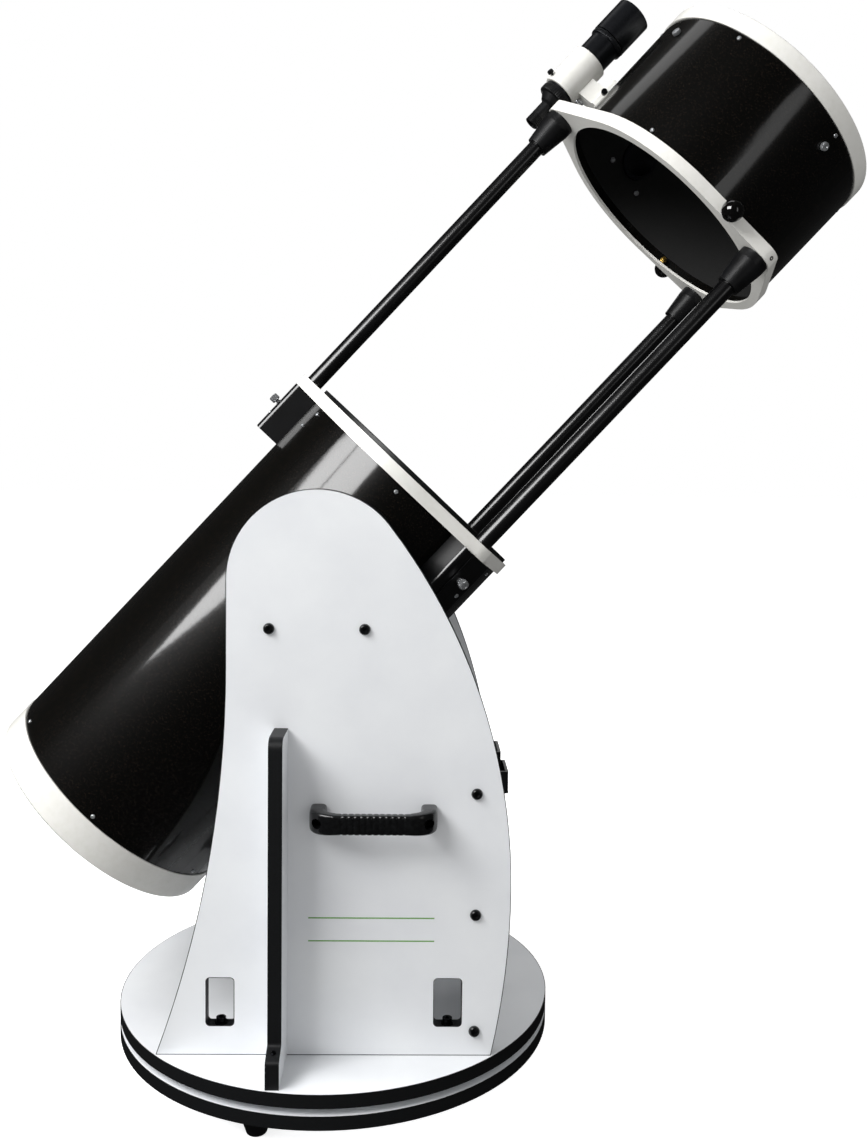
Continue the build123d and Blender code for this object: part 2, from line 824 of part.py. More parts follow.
def mirror_cell():
    top = cell_plate_at + cell_plate_t
    plate = rod(cell_plate_r, cell_plate_at, top)
    plate = plate - rod(cell_vent_r, cell_plate_at - 1, top + 1)
    for x, y in circle_points(cell_vent_circle_r, spread(3, 60.0)):
        plate -= rod(cell_vent_r, cell_plate_at - 1, top + 1, x, y)
    for x, y in collimation_places():
        plate -= rod(collimation_screw_r + collimation_fit, cell_plate_at - 1, top + 1, x, y)
    for x, y in circle_points(cell_pad_circle_r, spread(3, 30.0)):
        plate += rod(cell_pad_r, top, top + cell_pad_t, x, y)
    return plate


def mirror_low():
    return cell_plate_at + cell_plate_t + cell_pad_t


def primary_mirror():
    low = mirror_low()
    blank = rod(mirror_r, low, low + mirror_t)
    blank = chamfer(blank.edges().sort_by(Axis.Z)[-1], mirror_bevel)
    sphere_r = 2 * focal_len
    sag = sphere_r - math.sqrt(sphere_r ** 2 - (mirror_r - mirror_bevel) ** 2)
    return blank - Pos(0, 0, low + mirror_t - sag + sphere_r) * Sphere(sphere_r)


def mirror_clip(angle):
    low = cell_plate_at + cell_plate_t
    top = mirror_low() + mirror_t + clip_gap
    x0 = mirror_r + clip_gap
    post = block(x0, x0 + clip_t, -clip_w / 2, clip_w / 2, low, top + clip_t)
    finger = block(mirror_r - clip_over, x0 + clip_t, -clip_w / 2, clip_w / 2, top, top + clip_t)
    return Rot(0, 0, angle) * (post + finger)


def collimation_knob(x, y):
    top = cell_plate_at + cell_plate_t - collimation_screw_short
    knob_top = spoke_at - knob_gap
    head = rod(knob_r, knob_top - knob_len, knob_top, x, y)
    head = fillet(head.edges().filter_by(GeomType.CIRCLE), knob_edge_r)
    return head + rod(collimation_screw_r, knob_top, top, x, y)


def collimation_spring(x, y):
    low = spoke_at + spoke_t + spring_seat
    high = cell_plate_at - spring_seat
    height = high - low
    path = Helix(pitch=height / spring_turns, height=height, radius=spring_r)
    section = Plane(origin=path @ 0, z_dir=path % 0) * Circle(spring_wire_r)
    return Pos(x, y, low) * sweep(section, path=path, is_frenet=True)


def eared_ring(low, outer, inner, ear, thickness):
    """Flat ring with three ears that carry the struts."""
    faces = Circle(outer)
    for angle in strut_angles.values():
        x, y = circle_points(strut_circle_r, [angle])[0]
        pair = Circle(outer).edges() + (Pos(x, y) * Circle(ear)).edges()
        faces += make_hull(pair)
    faces -= Circle(inner)
    return Pos(0, 0, low) * extrude(faces, thickness)


def strut_centre(name):
    return circle_points(strut_circle_r, [strut_angles[name]])[0]


def mid_ring():
    ring = eared_ring(mid_ring_at, ring_r, tube_r + seat_gap, ear_r, ring_t)
    for name in strut_angles:
        x, y = strut_centre(name)
        ring -= rod(strut_r + ear_gap, mid_ring_at - 1, mid_ring_top + 1, x, y)
    return ring


def strut_housing(name):
    low = mid_ring_at - housing_len
    x0 = tube_r - block_root
    body = block(x0, housing_out_r, -housing_w / 2, housing_w / 2, low, mid_ring_at)
    body = fillet(body.edges().filter_by(Axis.Z).group_by(Axis.X)[-1], housing_corner_r)
    rib = block(housing_out_r - 1.0, housing_out_r + housing_rib_h, -housing_rib_w / 2,
                housing_rib_w / 2, low, mid_ring_at)
    body += rib
    body -= rod(tube_r + seat_gap, low - 1, mid_ring_at + 1)
    body -= rod(strut_r + strut_fit, low - 1, mid_ring_at + 1, strut_circle_r, 0)
    across = Pos(strut_circle_r + 20, 0, lock_at) * Rot(0, 90, 0)
    body -= across * Cylinder(lock_thread_r + lock_fit, 40.0)
    return Rot(0, 0, strut_angles[name]) * body


def strut_lock(name):
    tip = strut_circle_r + strut_r + lock_tip_gap
    face = housing_out_r + housing_rib_h
    collar = face + lock_collar_gap
    neck = collar + lock_neck_len
    end = neck + lock_head_len
    outward = Plane(origin=(0, 0, lock_at), x_dir=(0, 0, 1), z_dir=(1, 0, 0))
    screw = rod(lock_thread_r, tip, neck)
    screw += rod(lock_collar_r, collar, collar + lock_collar_t)
    head = rod(lock_head_r, neck, end)
    screw += fillet(head.edges().filter_by(GeomType.CIRCLE), lock_edge_r)
    return Rot(0, 0, strut_angles[name]) * (outward.location * screw)


def trunnion(side):
    flange = rod(trunnion_flange_r, tube_r - block_root, trunnion_flange_y)
    journal = rod(journal_r, trunnion_flange_y, panel_in_y - journal_end_gap)
    journal = fillet(journal.edges().filter_by(GeomType.CIRCLE).sort_by(Axis.Z)[-1], journal_edge_r)
    hub = radial_frame(90.0 * side, 0.0, 0.0).location * (flange + journal)
    return hub - rod(tube_r + seat_gap, -2 * trunnion_flange_r, 2 * trunnion_flange_r)


def button(angle, radius, along):
    head = rod(button_r, 0, button_h)
    head = fillet(head.edges().sort_by(Axis.Z)[-1], button_round_r)
    return radial_frame(angle, radius + button_seat, along).location * head


def tube_screws():
    heads = [button(angle, tube_r, mid_ring_at - below) for angle, below in tube_buttons]
    rear = rear_end + rear_ring_h + end_button_gap
    return heads + [button(angle, tube_r, rear) for angle in spread(*rear_buttons)]


# Cage at the top

def cage_lower_ring():
    ring = eared_ring(cage_at, ring_r, cage_opening_r, cage_ear_r, ring_t)
    ring -= rod(tube_r + seat_gap, cage_tube_from, cage_at + ring_t + 1)
    for name in strut_angles:
        x, y = strut_centre(name)
        ring -= rod(strut_r + hole_gap, cage_at - 1, cage_at + ring_t - strut_cover, x, y)
    return ring


def cage_tube():
    hole = radial_frame(focuser_angle, tube_r, secondary_at).location
    holes = [hole * Cylinder(drawtube_r + tube_hole_gap, 60.0)]
    for angle in vane_angles:
        stud = radial_frame(angle, tube_r, spider_at).location
        holes.append(stud * Cylinder(vane_stud_r + hole_gap, 20.0))
    return staves(cage_tube_from, cage_tube_to, holes)


def cage_front_ring():
    low = cage_end - front_ring_h
    ring = pipe(end_ring_r, tube_r + seat_gap, low, cage_end)
    ring += pipe(end_ring_r, front_ring_lip_r, cage_end - front_ring_lip_t, cage_end)
    rim = ring.edges().filter_by(GeomType.CIRCLE).group_by(Axis.Z)[-1]
    return fillet(rim.sort_by(lambda e: e.radius)[-1], front_edge_r)


def strut(name):
    x, y = strut_centre(name)
    top = cage_at + ring_t - strut_cover - hole_gap
    return pipe(strut_r, strut_r - strut_wall, strut_tail_at, top, x, y)


def strut_socket(name):
    x, y = strut_centre(name)
    collar = rod(socket_big_r, cage_at - socket_grip, cage_at)
    small_end = cage_at - socket_len
    taper_len = socket_len - socket_grip
    taper = Pos(0, 0, small_end + taper_len / 2) * Cone(socket_small_r, socket_big_r, taper_len)
    shell = collar + taper - rod(strut_r + seat_gap, small_end - 1, cage_at + 1)
    return Pos(x, y, 0) * shell


def ring_edge_r(angle, ear):
    """Outside of an eared ring at an angle between two ears."""
    tangent = math.degrees(math.acos((ring_r - ear) / strut_circle_r))
    away = min(abs(angle - a) for a in strut_angles.values())
    if away >= tangent:
        return ring_r
    return ring_r / math.cos(math.radians(tangent - away))


def grab_knob(side):
    seat = ring_edge_r(side * grab_angle, cage_ear_r) + button_seat
    lean = grab_stem_r * math.tan(math.acos(ring_r / (seat - button_seat)))
    centre_r = seat + grab_stem_len + grab_ball_r
    frame = radial_frame(side * grab_angle, 0.0, cage_at + ring_t / 2)
    stem = rod(grab_stem_r, seat + lean, centre_r)
    return frame.location * (stem + Pos(0, 0, centre_r) * Sphere(grab_ball_r))


def spider():
    hub = rod(hub_r, spider_at - hub_h / 2, spider_at + hub_h / 2)
    for angle in vane_angles:
        vane = block(hub_r - 2.0, tube_in_r - seat_gap, -vane_t / 2, vane_t / 2,
                     spider_at - vane_h / 2, spider_at + vane_h / 2)
        lug = block(tube_in_r - lug_len, tube_in_r - 1.0, -lug_half_w, lug_half_w,
                    spider_at - lug_half_h, spider_at + lug_half_h)
        stud_hole = Pos(tube_in_r - lug_len / 2, 0, spider_at) * Rot(0, 90, 0) * Cylinder(
            vane_stud_r + vane_stud_fit, lug_len + 2)
        hub += Rot(0, 0, angle) * ((vane + lug) - stud_hole)
    return hub - rod(hub_screw_r + hub_screw_fit, spider_at - hub_h, spider_at + hub_h)


def vane_screw(angle):
    head = rod(vane_knob_r, button_seat, vane_knob_len)
    head = fillet(head.edges().filter_by(GeomType.CIRCLE).sort_by(Axis.Z)[-1], vane_knob_round_r)
    stud = rod(vane_stud_r, -(tube_wall + vane_stud_grip), button_seat)
    return radial_frame(angle, tube_r, spider_at).location * (head + stud)


def cage_screws():
    rows = (cage_at + ring_t + end_button_gap, cage_end - front_ring_h - end_button_gap)
    heads = [button(angle, tube_r, row) for row in rows for angle in spread(*cage_buttons)]
    return heads + [vane_screw(a) for a in vane_angles]


def secondary_frame():
    """Plane of the diagonal: it looks half down the tube, half out at the focuser."""
    c = math.cos(math.radians(focuser_angle))
    s = math.sin(math.radians(focuser_angle))
    return Plane(origin=(0, 0, secondary_at), x_dir=(-s, c, 0), z_dir=(c, s, -1))


def secondary_mirror():
    reach = 2 * secondary_r
    column = rod(secondary_r, secondary_at - reach, secondary_at + reach)
    plate = Pos(0, 0, -secondary_t / 2) * Box(3 * reach, 3 * reach, secondary_t)
    return column & (secondary_frame().location * plate)


def secondary_holder():
    reach = 2 * secondary_r
    column = rod(holder_r, secondary_at - reach, holder_top)
    behind = Pos(0, 0, -secondary_t - reach) * Box(4 * reach, 4 * reach, 2 * reach)
    body = column & (secondary_frame().location * behind)
    hub_low = spider_at - hub_h / 2
    body += rod(stalk_r, holder_top - 1.0, hub_low)
    return body + rod(hub_screw_r, hub_low - 1.0, hub_low + hub_h)


# Focuser, built on a frame that points out of the tube

def focuser_frame():
    return radial_frame(focuser_angle, 0.0, secondary_at)


def focuser_base():
    low = tube_r - block_root
    plate_top = tube_r + focuser_plate_t
    half = focuser_plate / 2
    plate = block(-half, half, -half, half, low, plate_top)
    plate = fillet(plate.edges().filter_by(Axis.Z), focuser_corner_r)
    body = plate + rod(focuser_body_r, plate_top - 1, focuser_body_top)
    half_w = pinion_block_w / 2
    body += block(-pinion_drop - pinion_block_r, -drawtube_r / 2, -half_w, half_w,
                  plate_top - 1, pinion_height + pinion_block_r)
    main_tube = Rot(0, 90, 0) * Cylinder(tube_r + seat_gap, 400.0)
    body -= main_tube
    body -= rod(drawtube_r + drawtube_fit, low - 1, focuser_body_top + 1)
    axle_bore = Pos(-pinion_drop, 0, pinion_height) * Rot(90, 0, 0) * Cylinder(axle_r + axle_fit, 120.0)
    return focuser_frame().location * (body - axle_bore)


def drawtube():
    tube = rod(drawtube_r, drawtube_inner_end, drawtube_outer_end)
    collar = rod(collar_r, drawtube_outer_end - 0.5, drawtube_outer_end + collar_len)
    collar = fillet(collar.edges().filter_by(GeomType.CIRCLE).sort_by(Axis.Z)[-1], collar_edge_r)
    body = tube + collar
    body -= rod(barrel_r + barrel_fit, drawtube_inner_end - 1, drawtube_outer_end + collar_len + 1)
    return focuser_frame().location * body


def focus_knobs():
    axle_end = focus_knob_at + focus_knob_len - 1.0
    shaft = Rot(90, 0, 0) * Cylinder(axle_r, 2 * axle_end)
    for side in (-1, 1):
        knob = Pos(0, side * (focus_knob_at + focus_knob_len / 2), 0) * Rot(90, 0, 0) * Cylinder(
            focus_knob_r, focus_knob_len)
        shaft += fillet(knob.edges().filter_by(GeomType.CIRCLE), focus_knob_edge_r)
    return focuser_frame().location * (Pos(-pinion_drop, 0, pinion_height) * shaft)


# Finder, on a frame at its own axis; local -X looks back at the main tube

def finder_frame():
    x, y = circle_points(finder_circle_r, [finder_angle])[0]
    return Pos(x, y, 0) * Rot(0, 0, finder_angle)


def finder_shoe():
    half = shoe_w / 2
    body = block(tube_r - block_root, shoe_top_r, -half, half, shoe_from, shoe_from + shoe_len)
    body = fillet(body.edges().filter_by(Axis.Z).group_by(Axis.X)[-1], shoe_edge_r)
    body -= rod(tube_r + seat_gap, shoe_from - 1, shoe_from + shoe_len + 1)
    body = body - block(shoe_top_r - shoe_slot_depth, shoe_top_r + 1, -shoe_slot_w / 2,
                        shoe_slot_w / 2, shoe_from - 1, shoe_from + shoe_len + 1)
    return Rot(0, 0, finder_angle) * body


def finder_bracket():
    low = shoe_top_r - shoe_slot_depth - finder_circle_r + stem_fit
    half = shoe_slot_w / 2 - stem_fit
    stem_low = shoe_from + stem_inset
    stem = block(low, -(finder_tube_r + finder_bracket_r) / 2, -half, half, stem_low, stem_low + stem_len)
    barrel = rod(finder_bracket_r, finder_bracket_from, finder_bracket_to)
    body = stem + fillet(barrel.edges().filter_by(GeomType.CIRCLE), finder_edge_r)
    body -= rod(finder_tube_r + finder_bracket_gap, finder_bracket_from - 1, finder_bracket_to + 1)
    for angle in (-45.0, 45.0):
        hole = radial_frame(angle, finder_bracket_r, finder_knob_at).location
        body -= hole * Cylinder(finder_knob_stem_r + hole_gap, 12.0)
    return finder_frame() * body


def finder_tube():
    low = finder_bracket_from - finder_tube_tail
    return finder_frame() * pipe(finder_tube_r, finder_tube_r - finder_tube_wall, low, finder_tube_to)


def finder_dew_shield():
    shade = pipe(dew_r, dew_r - dew_wall, dew_from, dew_to)
    shade += pipe(dew_r, finder_tube_r + finder_bracket_gap, dew_from, dew_from + dew_step)
    return finder_frame() * shade


def finder_lens():
    radius = finder_tube_r - finder_tube_wall - lens_seat
    top = finder_tube_to - lens_inset
    return finder_frame() * rod(radius, top - lens_t, top)


def finder_eyepiece():
    top = finder_bracket_from - finder_tube_tail
    collar_low = finder_collar_from + finder_cone_h
    barrel = rod(finder_collar_r, collar_low, top)
    barrel = fillet(barrel.edges().filter_by(GeomType.CIRCLE), finder_edge_r)
    cone = Pos(0, 0, finder_collar_from + finder_cone_h / 2) * Cone(
        finder_neck_r, finder_collar_r - finder_cone_step, finder_cone_h)
    eye = rod(finder_eyepiece_r, finder_eyepiece_from, finder_collar_from)
    body = barrel + cone + eye
    cup = rod(finder_eye_lens_r, finder_eyepiece_from - 1, finder_eyepiece_from + finder_eye_cup_depth)
    return finder_frame() * (body - cup)


def finder_screw(angle):
    out = finder_bracket_r + finder_knob_out
    stem = rod(finder_knob_stem_r, finder_tube_r + finder_bracket_gap, out)
    head = rod(finder_knob_r, out, out + finder_knob_len)
    head = fillet(head.edges().filter_by(GeomType.CIRCLE).sort_by(Axis.Z)[-1], finder_edge_r)
    return finder_frame() * (radial_frame(angle, 0.0, finder_knob_at).location * (stem + head))


keep("ground_board", ground_board())
keep("ground_board_edging", board_band(ground_z, bearing_z))
keep("ground_feet", group([foot(x, y) for x, y in foot_centres()]))
keep("bearing_lower_race", race(bearing_z))
keep("bearing_rollers", group(rollers()))
keep("roller_cage", roller_cage())
keep("azimuth_pivot_bolt", pivot_bolt())

keep("azimuth_board", deck())
keep("azimuth_board_edging", board_band(deck_under, deck_z))
keep("bearing_upper_race", race(deck_under - race_t))
keep("pivot_bush", pivot_bush())
for label, side in (("near", -1), ("far", 1)):
    keep(f"{label}_side_panel", side_panel(side))
keep("side_gussets", group([gusset(-1), gusset(1)]))
keep("carry_handles", group([handle(-1), handle(1)]))
keep("front_board", front_board())
bands = panel_bands(-1) + panel_bands(1) + [gusset_band(-1), gusset_band(1), front_band()]
keep("panel_edging", group(bands))
keep("panel_screws", group(panel_screws()))
keep("hold_down_bolts", group([hold_down_bolt(x, y) for x, y in bolt_places()]))
keep("altitude_cradles", group([cradle(-1), cradle(1)]))
keep("encoder_housing", encoder_housing())
keep("handset_holder", handset_holder())

keep_on_tube("lower_tube", lower_tube())
keep_on_tube("rear_ring", rear_ring())
keep_on_tube("mirror_cell", mirror_cell())
keep_on_tube("primary_mirror", primary_mirror())
keep_on_tube("mirror_clips", group([mirror_clip(a) for a in spread(3, 60.0)]))
keep_on_tube("collimation_springs", group([collimation_spring(x, y) for x, y in collimation_places()]))
keep_on_tube("mid_ring", mid_ring())
keep_on_tube("trunnions", group([trunnion(-1), trunnion(1)]))
keep_on_tube("tube_screws", group(tube_screws()))
keep_on_tube("strut_housings", group([strut_housing(name) for name in strut_angles]))
for name in strut_angles:
    keep_on_tube(f"{name}_strut_lock", strut_lock(name))
    keep_on_tube(f"{name}_strut", strut(name))
for number, (x, y) in enumerate(collimation_places(), start=1):
    keep_on_tube(f"collimation_knob_{number}", collimation_knob(x, y))

keep_on_tube("strut_sockets", group([strut_socket(name) for name in strut_angles]))
keep_on_tube("cage_lower_ring", cage_lower_ring())
keep_on_tube("cage_tube", cage_tube())
keep_on_tube("cage_front_ring", cage_front_ring())
keep_on_tube("grab_knobs", group([grab_knob(1), grab_knob(-1)]))
keep_on_tube("spider", spider())
keep_on_tube("cage_screws", group(cage_screws()))
keep_on_tube("secondary_holder", secondary_holder())
keep_on_tube("secondary_mirror", secondary_mirror())
keep_on_tube("focuser_base", focuser_base())
keep_on_tube("focuser_drawtube", drawtube())
keep_on_tube("focus_knobs", focus_knobs())
keep_on_tube("finder_shoe", finder_shoe())
keep_on_tube("finder_bracket", finder_bracket())
keep_on_tube("finder_tube", finder_tube())
keep_on_tube("finder_dew_shield", finder_dew_shield())
keep_on_tube("finder_lens", finder_lens())
keep_on_tube("finder_eyepiece", finder_eyepiece())
keep_on_tube("finder_screws", group([finder_screw(a) for a in (-45.0, 45.0)]))

os.makedirs("parts", exist_ok=True)
for name, shape in nodes.items():
    export_step(shape, f"parts/{name}.step")
print(len(nodes), "nodes")
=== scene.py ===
import json
import math

import bpy
from mathutils import Matrix, Vector


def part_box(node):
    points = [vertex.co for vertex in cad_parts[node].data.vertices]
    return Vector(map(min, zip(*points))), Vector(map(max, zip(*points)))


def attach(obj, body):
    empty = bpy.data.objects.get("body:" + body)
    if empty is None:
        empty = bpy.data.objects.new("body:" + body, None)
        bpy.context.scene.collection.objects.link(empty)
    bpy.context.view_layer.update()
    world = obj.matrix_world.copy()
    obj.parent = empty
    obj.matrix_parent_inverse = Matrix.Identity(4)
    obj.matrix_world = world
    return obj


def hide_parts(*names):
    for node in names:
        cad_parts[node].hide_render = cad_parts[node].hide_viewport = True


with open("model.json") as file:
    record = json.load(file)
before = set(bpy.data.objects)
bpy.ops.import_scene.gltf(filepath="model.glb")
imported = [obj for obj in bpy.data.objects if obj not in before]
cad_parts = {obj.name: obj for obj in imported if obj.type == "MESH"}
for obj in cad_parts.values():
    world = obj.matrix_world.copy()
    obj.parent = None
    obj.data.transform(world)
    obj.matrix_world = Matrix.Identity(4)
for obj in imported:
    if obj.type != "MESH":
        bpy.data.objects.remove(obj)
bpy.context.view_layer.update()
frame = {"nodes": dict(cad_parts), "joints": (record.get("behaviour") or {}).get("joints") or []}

joints = {joint["name"]: joint for joint in frame["joints"]}

# The optical tube has its own axes: along it to the sky, out of its top side, and out towards the near panel
altitudePoint = Vector(joints["altitude_tilt"]["pos_m"])
along = Vector(joints["tube_extend"]["axis"]).normalized()
near = Vector((0, -1, 0))
top = near.cross(along)
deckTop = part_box("azimuth_board")[1][2]


def tubeOut(degrees):
    turn = math.radians(degrees)
    return top * math.cos(turn) + near * math.sin(turn)


def tubePoint(mmAlong, mmOut, degrees=0.0):
    return altitudePoint + along * (mmAlong / 1000) + tubeOut(degrees) * (mmOut / 1000)


# ---- camera and lights first, so every later step can be looked at

cameraSet = {
    "place": (0.1194, -1.6392, 0.8544),
    "yaw": 0.0145,        # towards +X
    "down": 0.0530,
    "roll": 0.0106,
    "lens": 34.29,
    "shiftX": -0.0007,
    "shiftY": -0.0360,
}


def addCamera():
    data = bpy.data.cameras.new("productCamera")
    camera = bpy.data.objects.new("productCamera", data)
    bpy.context.scene.collection.objects.link(camera)
    data.sensor_width = 36
    data.lens = cameraSet["lens"]
    data.shift_x = cameraSet["shiftX"]
    data.shift_y = cameraSet["shiftY"]
    yaw, down, roll = cameraSet["yaw"], cameraSet["down"], cameraSet["roll"]
    forward = Vector((math.sin(yaw) * math.cos(down), math.cos(yaw) * math.cos(down), -math.sin(down)))
    right = Vector((math.cos(yaw), -math.sin(yaw), 0))
    up = right.cross(forward)
    rightRolled = right * math.cos(roll) + up * math.sin(roll)
    upRolled = up * math.cos(roll) - right * math.sin(roll)
    turn = Matrix((rightRolled, upRolled, -forward)).transposed()
    camera.matrix_world = Matrix.Translation(cameraSet["place"]) @ turn.to_4x4()
    bpy.context.scene.camera = camera


def linearColour(hexText, alpha=1.0):
    channels = []
    for start in (1, 3, 5):
        value = int(hexText[start:start + 2], 16) / 255
        channels.append(value / 12.92 if value <= 0.04045 else ((value + 0.055) / 1.055) ** 2.4)
    return (*channels, alpha)


def addNode(tree, kind, inputs=None, **settings):
    node = tree.nodes.new(kind)
    for name, value in settings.items():
        setattr(node, name, value)
    for name, value in (inputs or {}).items():
        if isinstance(value, bpy.types.NodeSocket):
            tree.links.new(value, node.inputs[name])
        else:
            node.inputs[name].default_value = value
    return node


# A lamp with "gloss" False only lights matt surfaces, and one with "matt" False only shows in gloss
lampSet = {
    "keyBox": {
        "place": (-1.95, -1.95, 2.65), "aim": (0.05, -0.1, 0.80),
        "size": (1.8, 1.2), "watts": 88, "gloss": False},
    # a window as gloss shows it, in two halves with the glazing bar as the gap
    "streakLeft": {
        "place": (-2.00, -1.35, 2.15), "aim": (-0.35, 0.30, 0.80),
        "size": (0.70, 1.25), "watts": 34, "matt": False},
    "streakRight": {
        "place": (-1.32, -2.03, 2.15), "aim": (0.33, -0.38, 0.80),
        "size": (1.11, 1.25), "watts": 54, "matt": False},
    "topBox": {
        "place": (-1.60, -0.55, 2.70), "aim": (0.0, -0.1, 0.3),
        "size": (1.4, 1.2), "watts": 56, "gloss": False},
    "topStrip": {
        "place": (0.10, 0.15, 3.10), "aim": (0.0, 0.0, 0.6),
        "size": (1.6, 0.5), "watts": 3, "matt": False},
    "frontFill": {
        "place": (1.90, -2.60, 1.20), "aim": (0.05, -0.1, 0.65),
        "size": (0.5, 1.6), "watts": 3},
    "backBox": {
        "place": (0.6, 2.6, 1.9), "aim": (0.1, 0.0, 0.8),
        "size": (1.8, 1.4), "watts": 12},
}

studioSet = {
    "paper": "#FFFFFF",
    "paperSeen": 1.0,     # the backdrop itself
    "paperLight": 0.46,   # what the white paper round the set gives matt surfaces
    "darkStudio": 0.02,   # the unlit studio is what shines in gloss
}


def addLights():
    for name, box in lampSet.items():
        data = bpy.data.lights.new(name, "AREA")
        data.shape = "RECTANGLE"
        data.size, data.size_y = box["size"]
        data.energy = box["watts"]
        lamp = bpy.data.objects.new(name, data)
        bpy.context.scene.collection.objects.link(lamp)
        lamp.location = box["place"]
        lamp.visible_glossy = box.get("gloss", True)
        lamp.visible_diffuse = box.get("matt", True)
        look = Vector(box["aim"]) - Vector(box["place"])
        lamp.rotation_euler = look.to_track_quat("-Z", "Y").to_euler()


def addStudio():
    world = bpy.data.worlds.new("studio")
    world.use_nodes = True
    world.cycles.sampling_method = "NONE"      # so that gloss never catches the paper's light
    bpy.context.scene.world = world
    tree = world.node_tree
    tree.nodes.clear()
    white = linearColour(studioSet["paper"])
    seen = addNode(tree, "ShaderNodeBackground", {"Color": white, "Strength": studioSet["paperSeen"]})
    fill = addNode(tree, "ShaderNodeBackground", {"Color": white, "Strength": studioSet["paperLight"]})
    dark = addNode(tree, "ShaderNodeBackground", {"Color": white, "Strength": studioSet["darkStudio"]})
    path = addNode(tree, "ShaderNodeLightPath")
    gloss = addNode(tree, "ShaderNodeMixShader", {
        0: path.outputs["Is Glossy Ray"], 1: fill.outputs[0], 2: dark.outputs[0]})
    blend = addNode(tree, "ShaderNodeMixShader", {
        0: path.outputs["Is Camera Ray"], 1: gloss.outputs[0], 2: seen.outputs[0]})
    addNode(tree, "ShaderNodeOutputWorld", {"Surface": blend.outputs[0]})
    bpy.context.scene.view_settings.view_transform = "Standard"


addCamera()
addLights()
addStudio()
print("camera and lights are in")


# ---- finishes

def startMaterial(name):
    material = bpy.data.materials.new(name)
    material.use_nodes = True
    tree = material.node_tree
    tree.nodes.clear()
    shader = addNode(tree, "ShaderNodeBsdfPrincipled")
    addNode(tree, "ShaderNodeOutputMaterial", {"Surface": shader.outputs["BSDF"]})
    return material, tree, shader


def rampColours(ramp, stops):
    elements = ramp.color_ramp.elements
    while len(elements) < len(stops):
        elements.new(0.5)
    for element, (place, hexText) in zip(elements, stops):
        element.position = place
        element.color = linearColour(hexText)


melamine = {
    "white": "#E9EBED",
    "shade": "#E2E4E7",
    "grainMm": 1.6,       # the press plate's pearl grain is 0.3 mm, drawn coarser so that it shows
    "cloudMm": 120,
    "grainHeight": 0.10,
    "roughness": (0.34, 0.44),
}


def melamineBoard():
    # melamine paper pressed on chipboard: bright white with a faint pearl grain that softens every reflection
    material, tree, shader = startMaterial("whiteMelamine")
    coords = addNode(tree, "ShaderNodeTexCoord").outputs["Object"]
    cloud = addNode(tree, "ShaderNodeTexNoise", {
        "Vector": coords, "Scale": 1000 / melamine["cloudMm"], "Detail": 4})
    tint = addNode(tree, "ShaderNodeValToRGB", {"Fac": cloud.outputs["Fac"]})
    rampColours(tint, [(0.35, melamine["shade"]), (0.65, melamine["white"])])
    grain = addNode(tree, "ShaderNodeTexNoise", {
        "Vector": coords, "Scale": 1000 / melamine["grainMm"], "Detail": 2})
    low, high = melamine["roughness"]
    rough = addNode(tree, "ShaderNodeMapRange", {
        "Value": grain.outputs["Fac"], "To Min": low, "To Max": high})
    bump = addNode(tree, "ShaderNodeBump", {
        "Height": grain.outputs["Fac"], "Strength": melamine["grainHeight"], "Distance": 0.0002})
    tree.links.new(tint.outputs["Color"], shader.inputs["Base Color"])
    tree.links.new(rough.outputs["Result"], shader.inputs["Roughness"])
    tree.links.new(bump.outputs["Normal"], shader.inputs["Normal"])
    return material


edgeBand = {
    "black": "#0F1011", "worn": "#17181A", "grainMm": 1.4, "grainHeight": 0.15,
    "roughness": (0.40, 0.54), "specular": 0.28,
}


def pvcEdgeBand():
    # extruded PVC tape: black with a soft low shine, slightly paler where it was trimmed
    material, tree, shader = startMaterial("blackEdgeTape")
    coords = addNode(tree, "ShaderNodeTexCoord").outputs["Object"]
    grain = addNode(tree, "ShaderNodeTexNoise", {
        "Vector": coords, "Scale": 1000 / edgeBand["grainMm"], "Detail": 3})
    tint = addNode(tree, "ShaderNodeValToRGB", {"Fac": grain.outputs["Fac"]})
    rampColours(tint, [(0.3, edgeBand["black"]), (0.8, edgeBand["worn"])])
    low, high = edgeBand["roughness"]
    rough = addNode(tree, "ShaderNodeMapRange", {
        "Value": grain.outputs["Fac"], "To Min": low, "To Max": high})
    bump = addNode(tree, "ShaderNodeBump", {
        "Height": grain.outputs["Fac"], "Strength": edgeBand["grainHeight"], "Distance": 0.0002})
    shader.inputs["Specular IOR Level"].default_value = edgeBand["specular"]
    tree.links.new(tint.outputs["Color"], shader.inputs["Base Color"])
    tree.links.new(rough.outputs["Result"], shader.inputs["Roughness"])
    tree.links.new(bump.outputs["Normal"], shader.inputs["Normal"])
    return material


flakeEnamel = {
    "black": "#030302",
    "flake": "#0B0805",
    "brightFlake": "#2A2019",
    "flakeMm": 0.8,       # the real flake is 0.1 mm, drawn as coarse as it needs to show
    "flakeFrom": 0.70,    # this share of the cells is plain black
    "flakeMetal": 0.35,
    "waveMm": 14,
    "roughness": 0.38,
    "specular": 0.12,
    "coat": 1.0,
    "coatRoughness": 0.10,
}


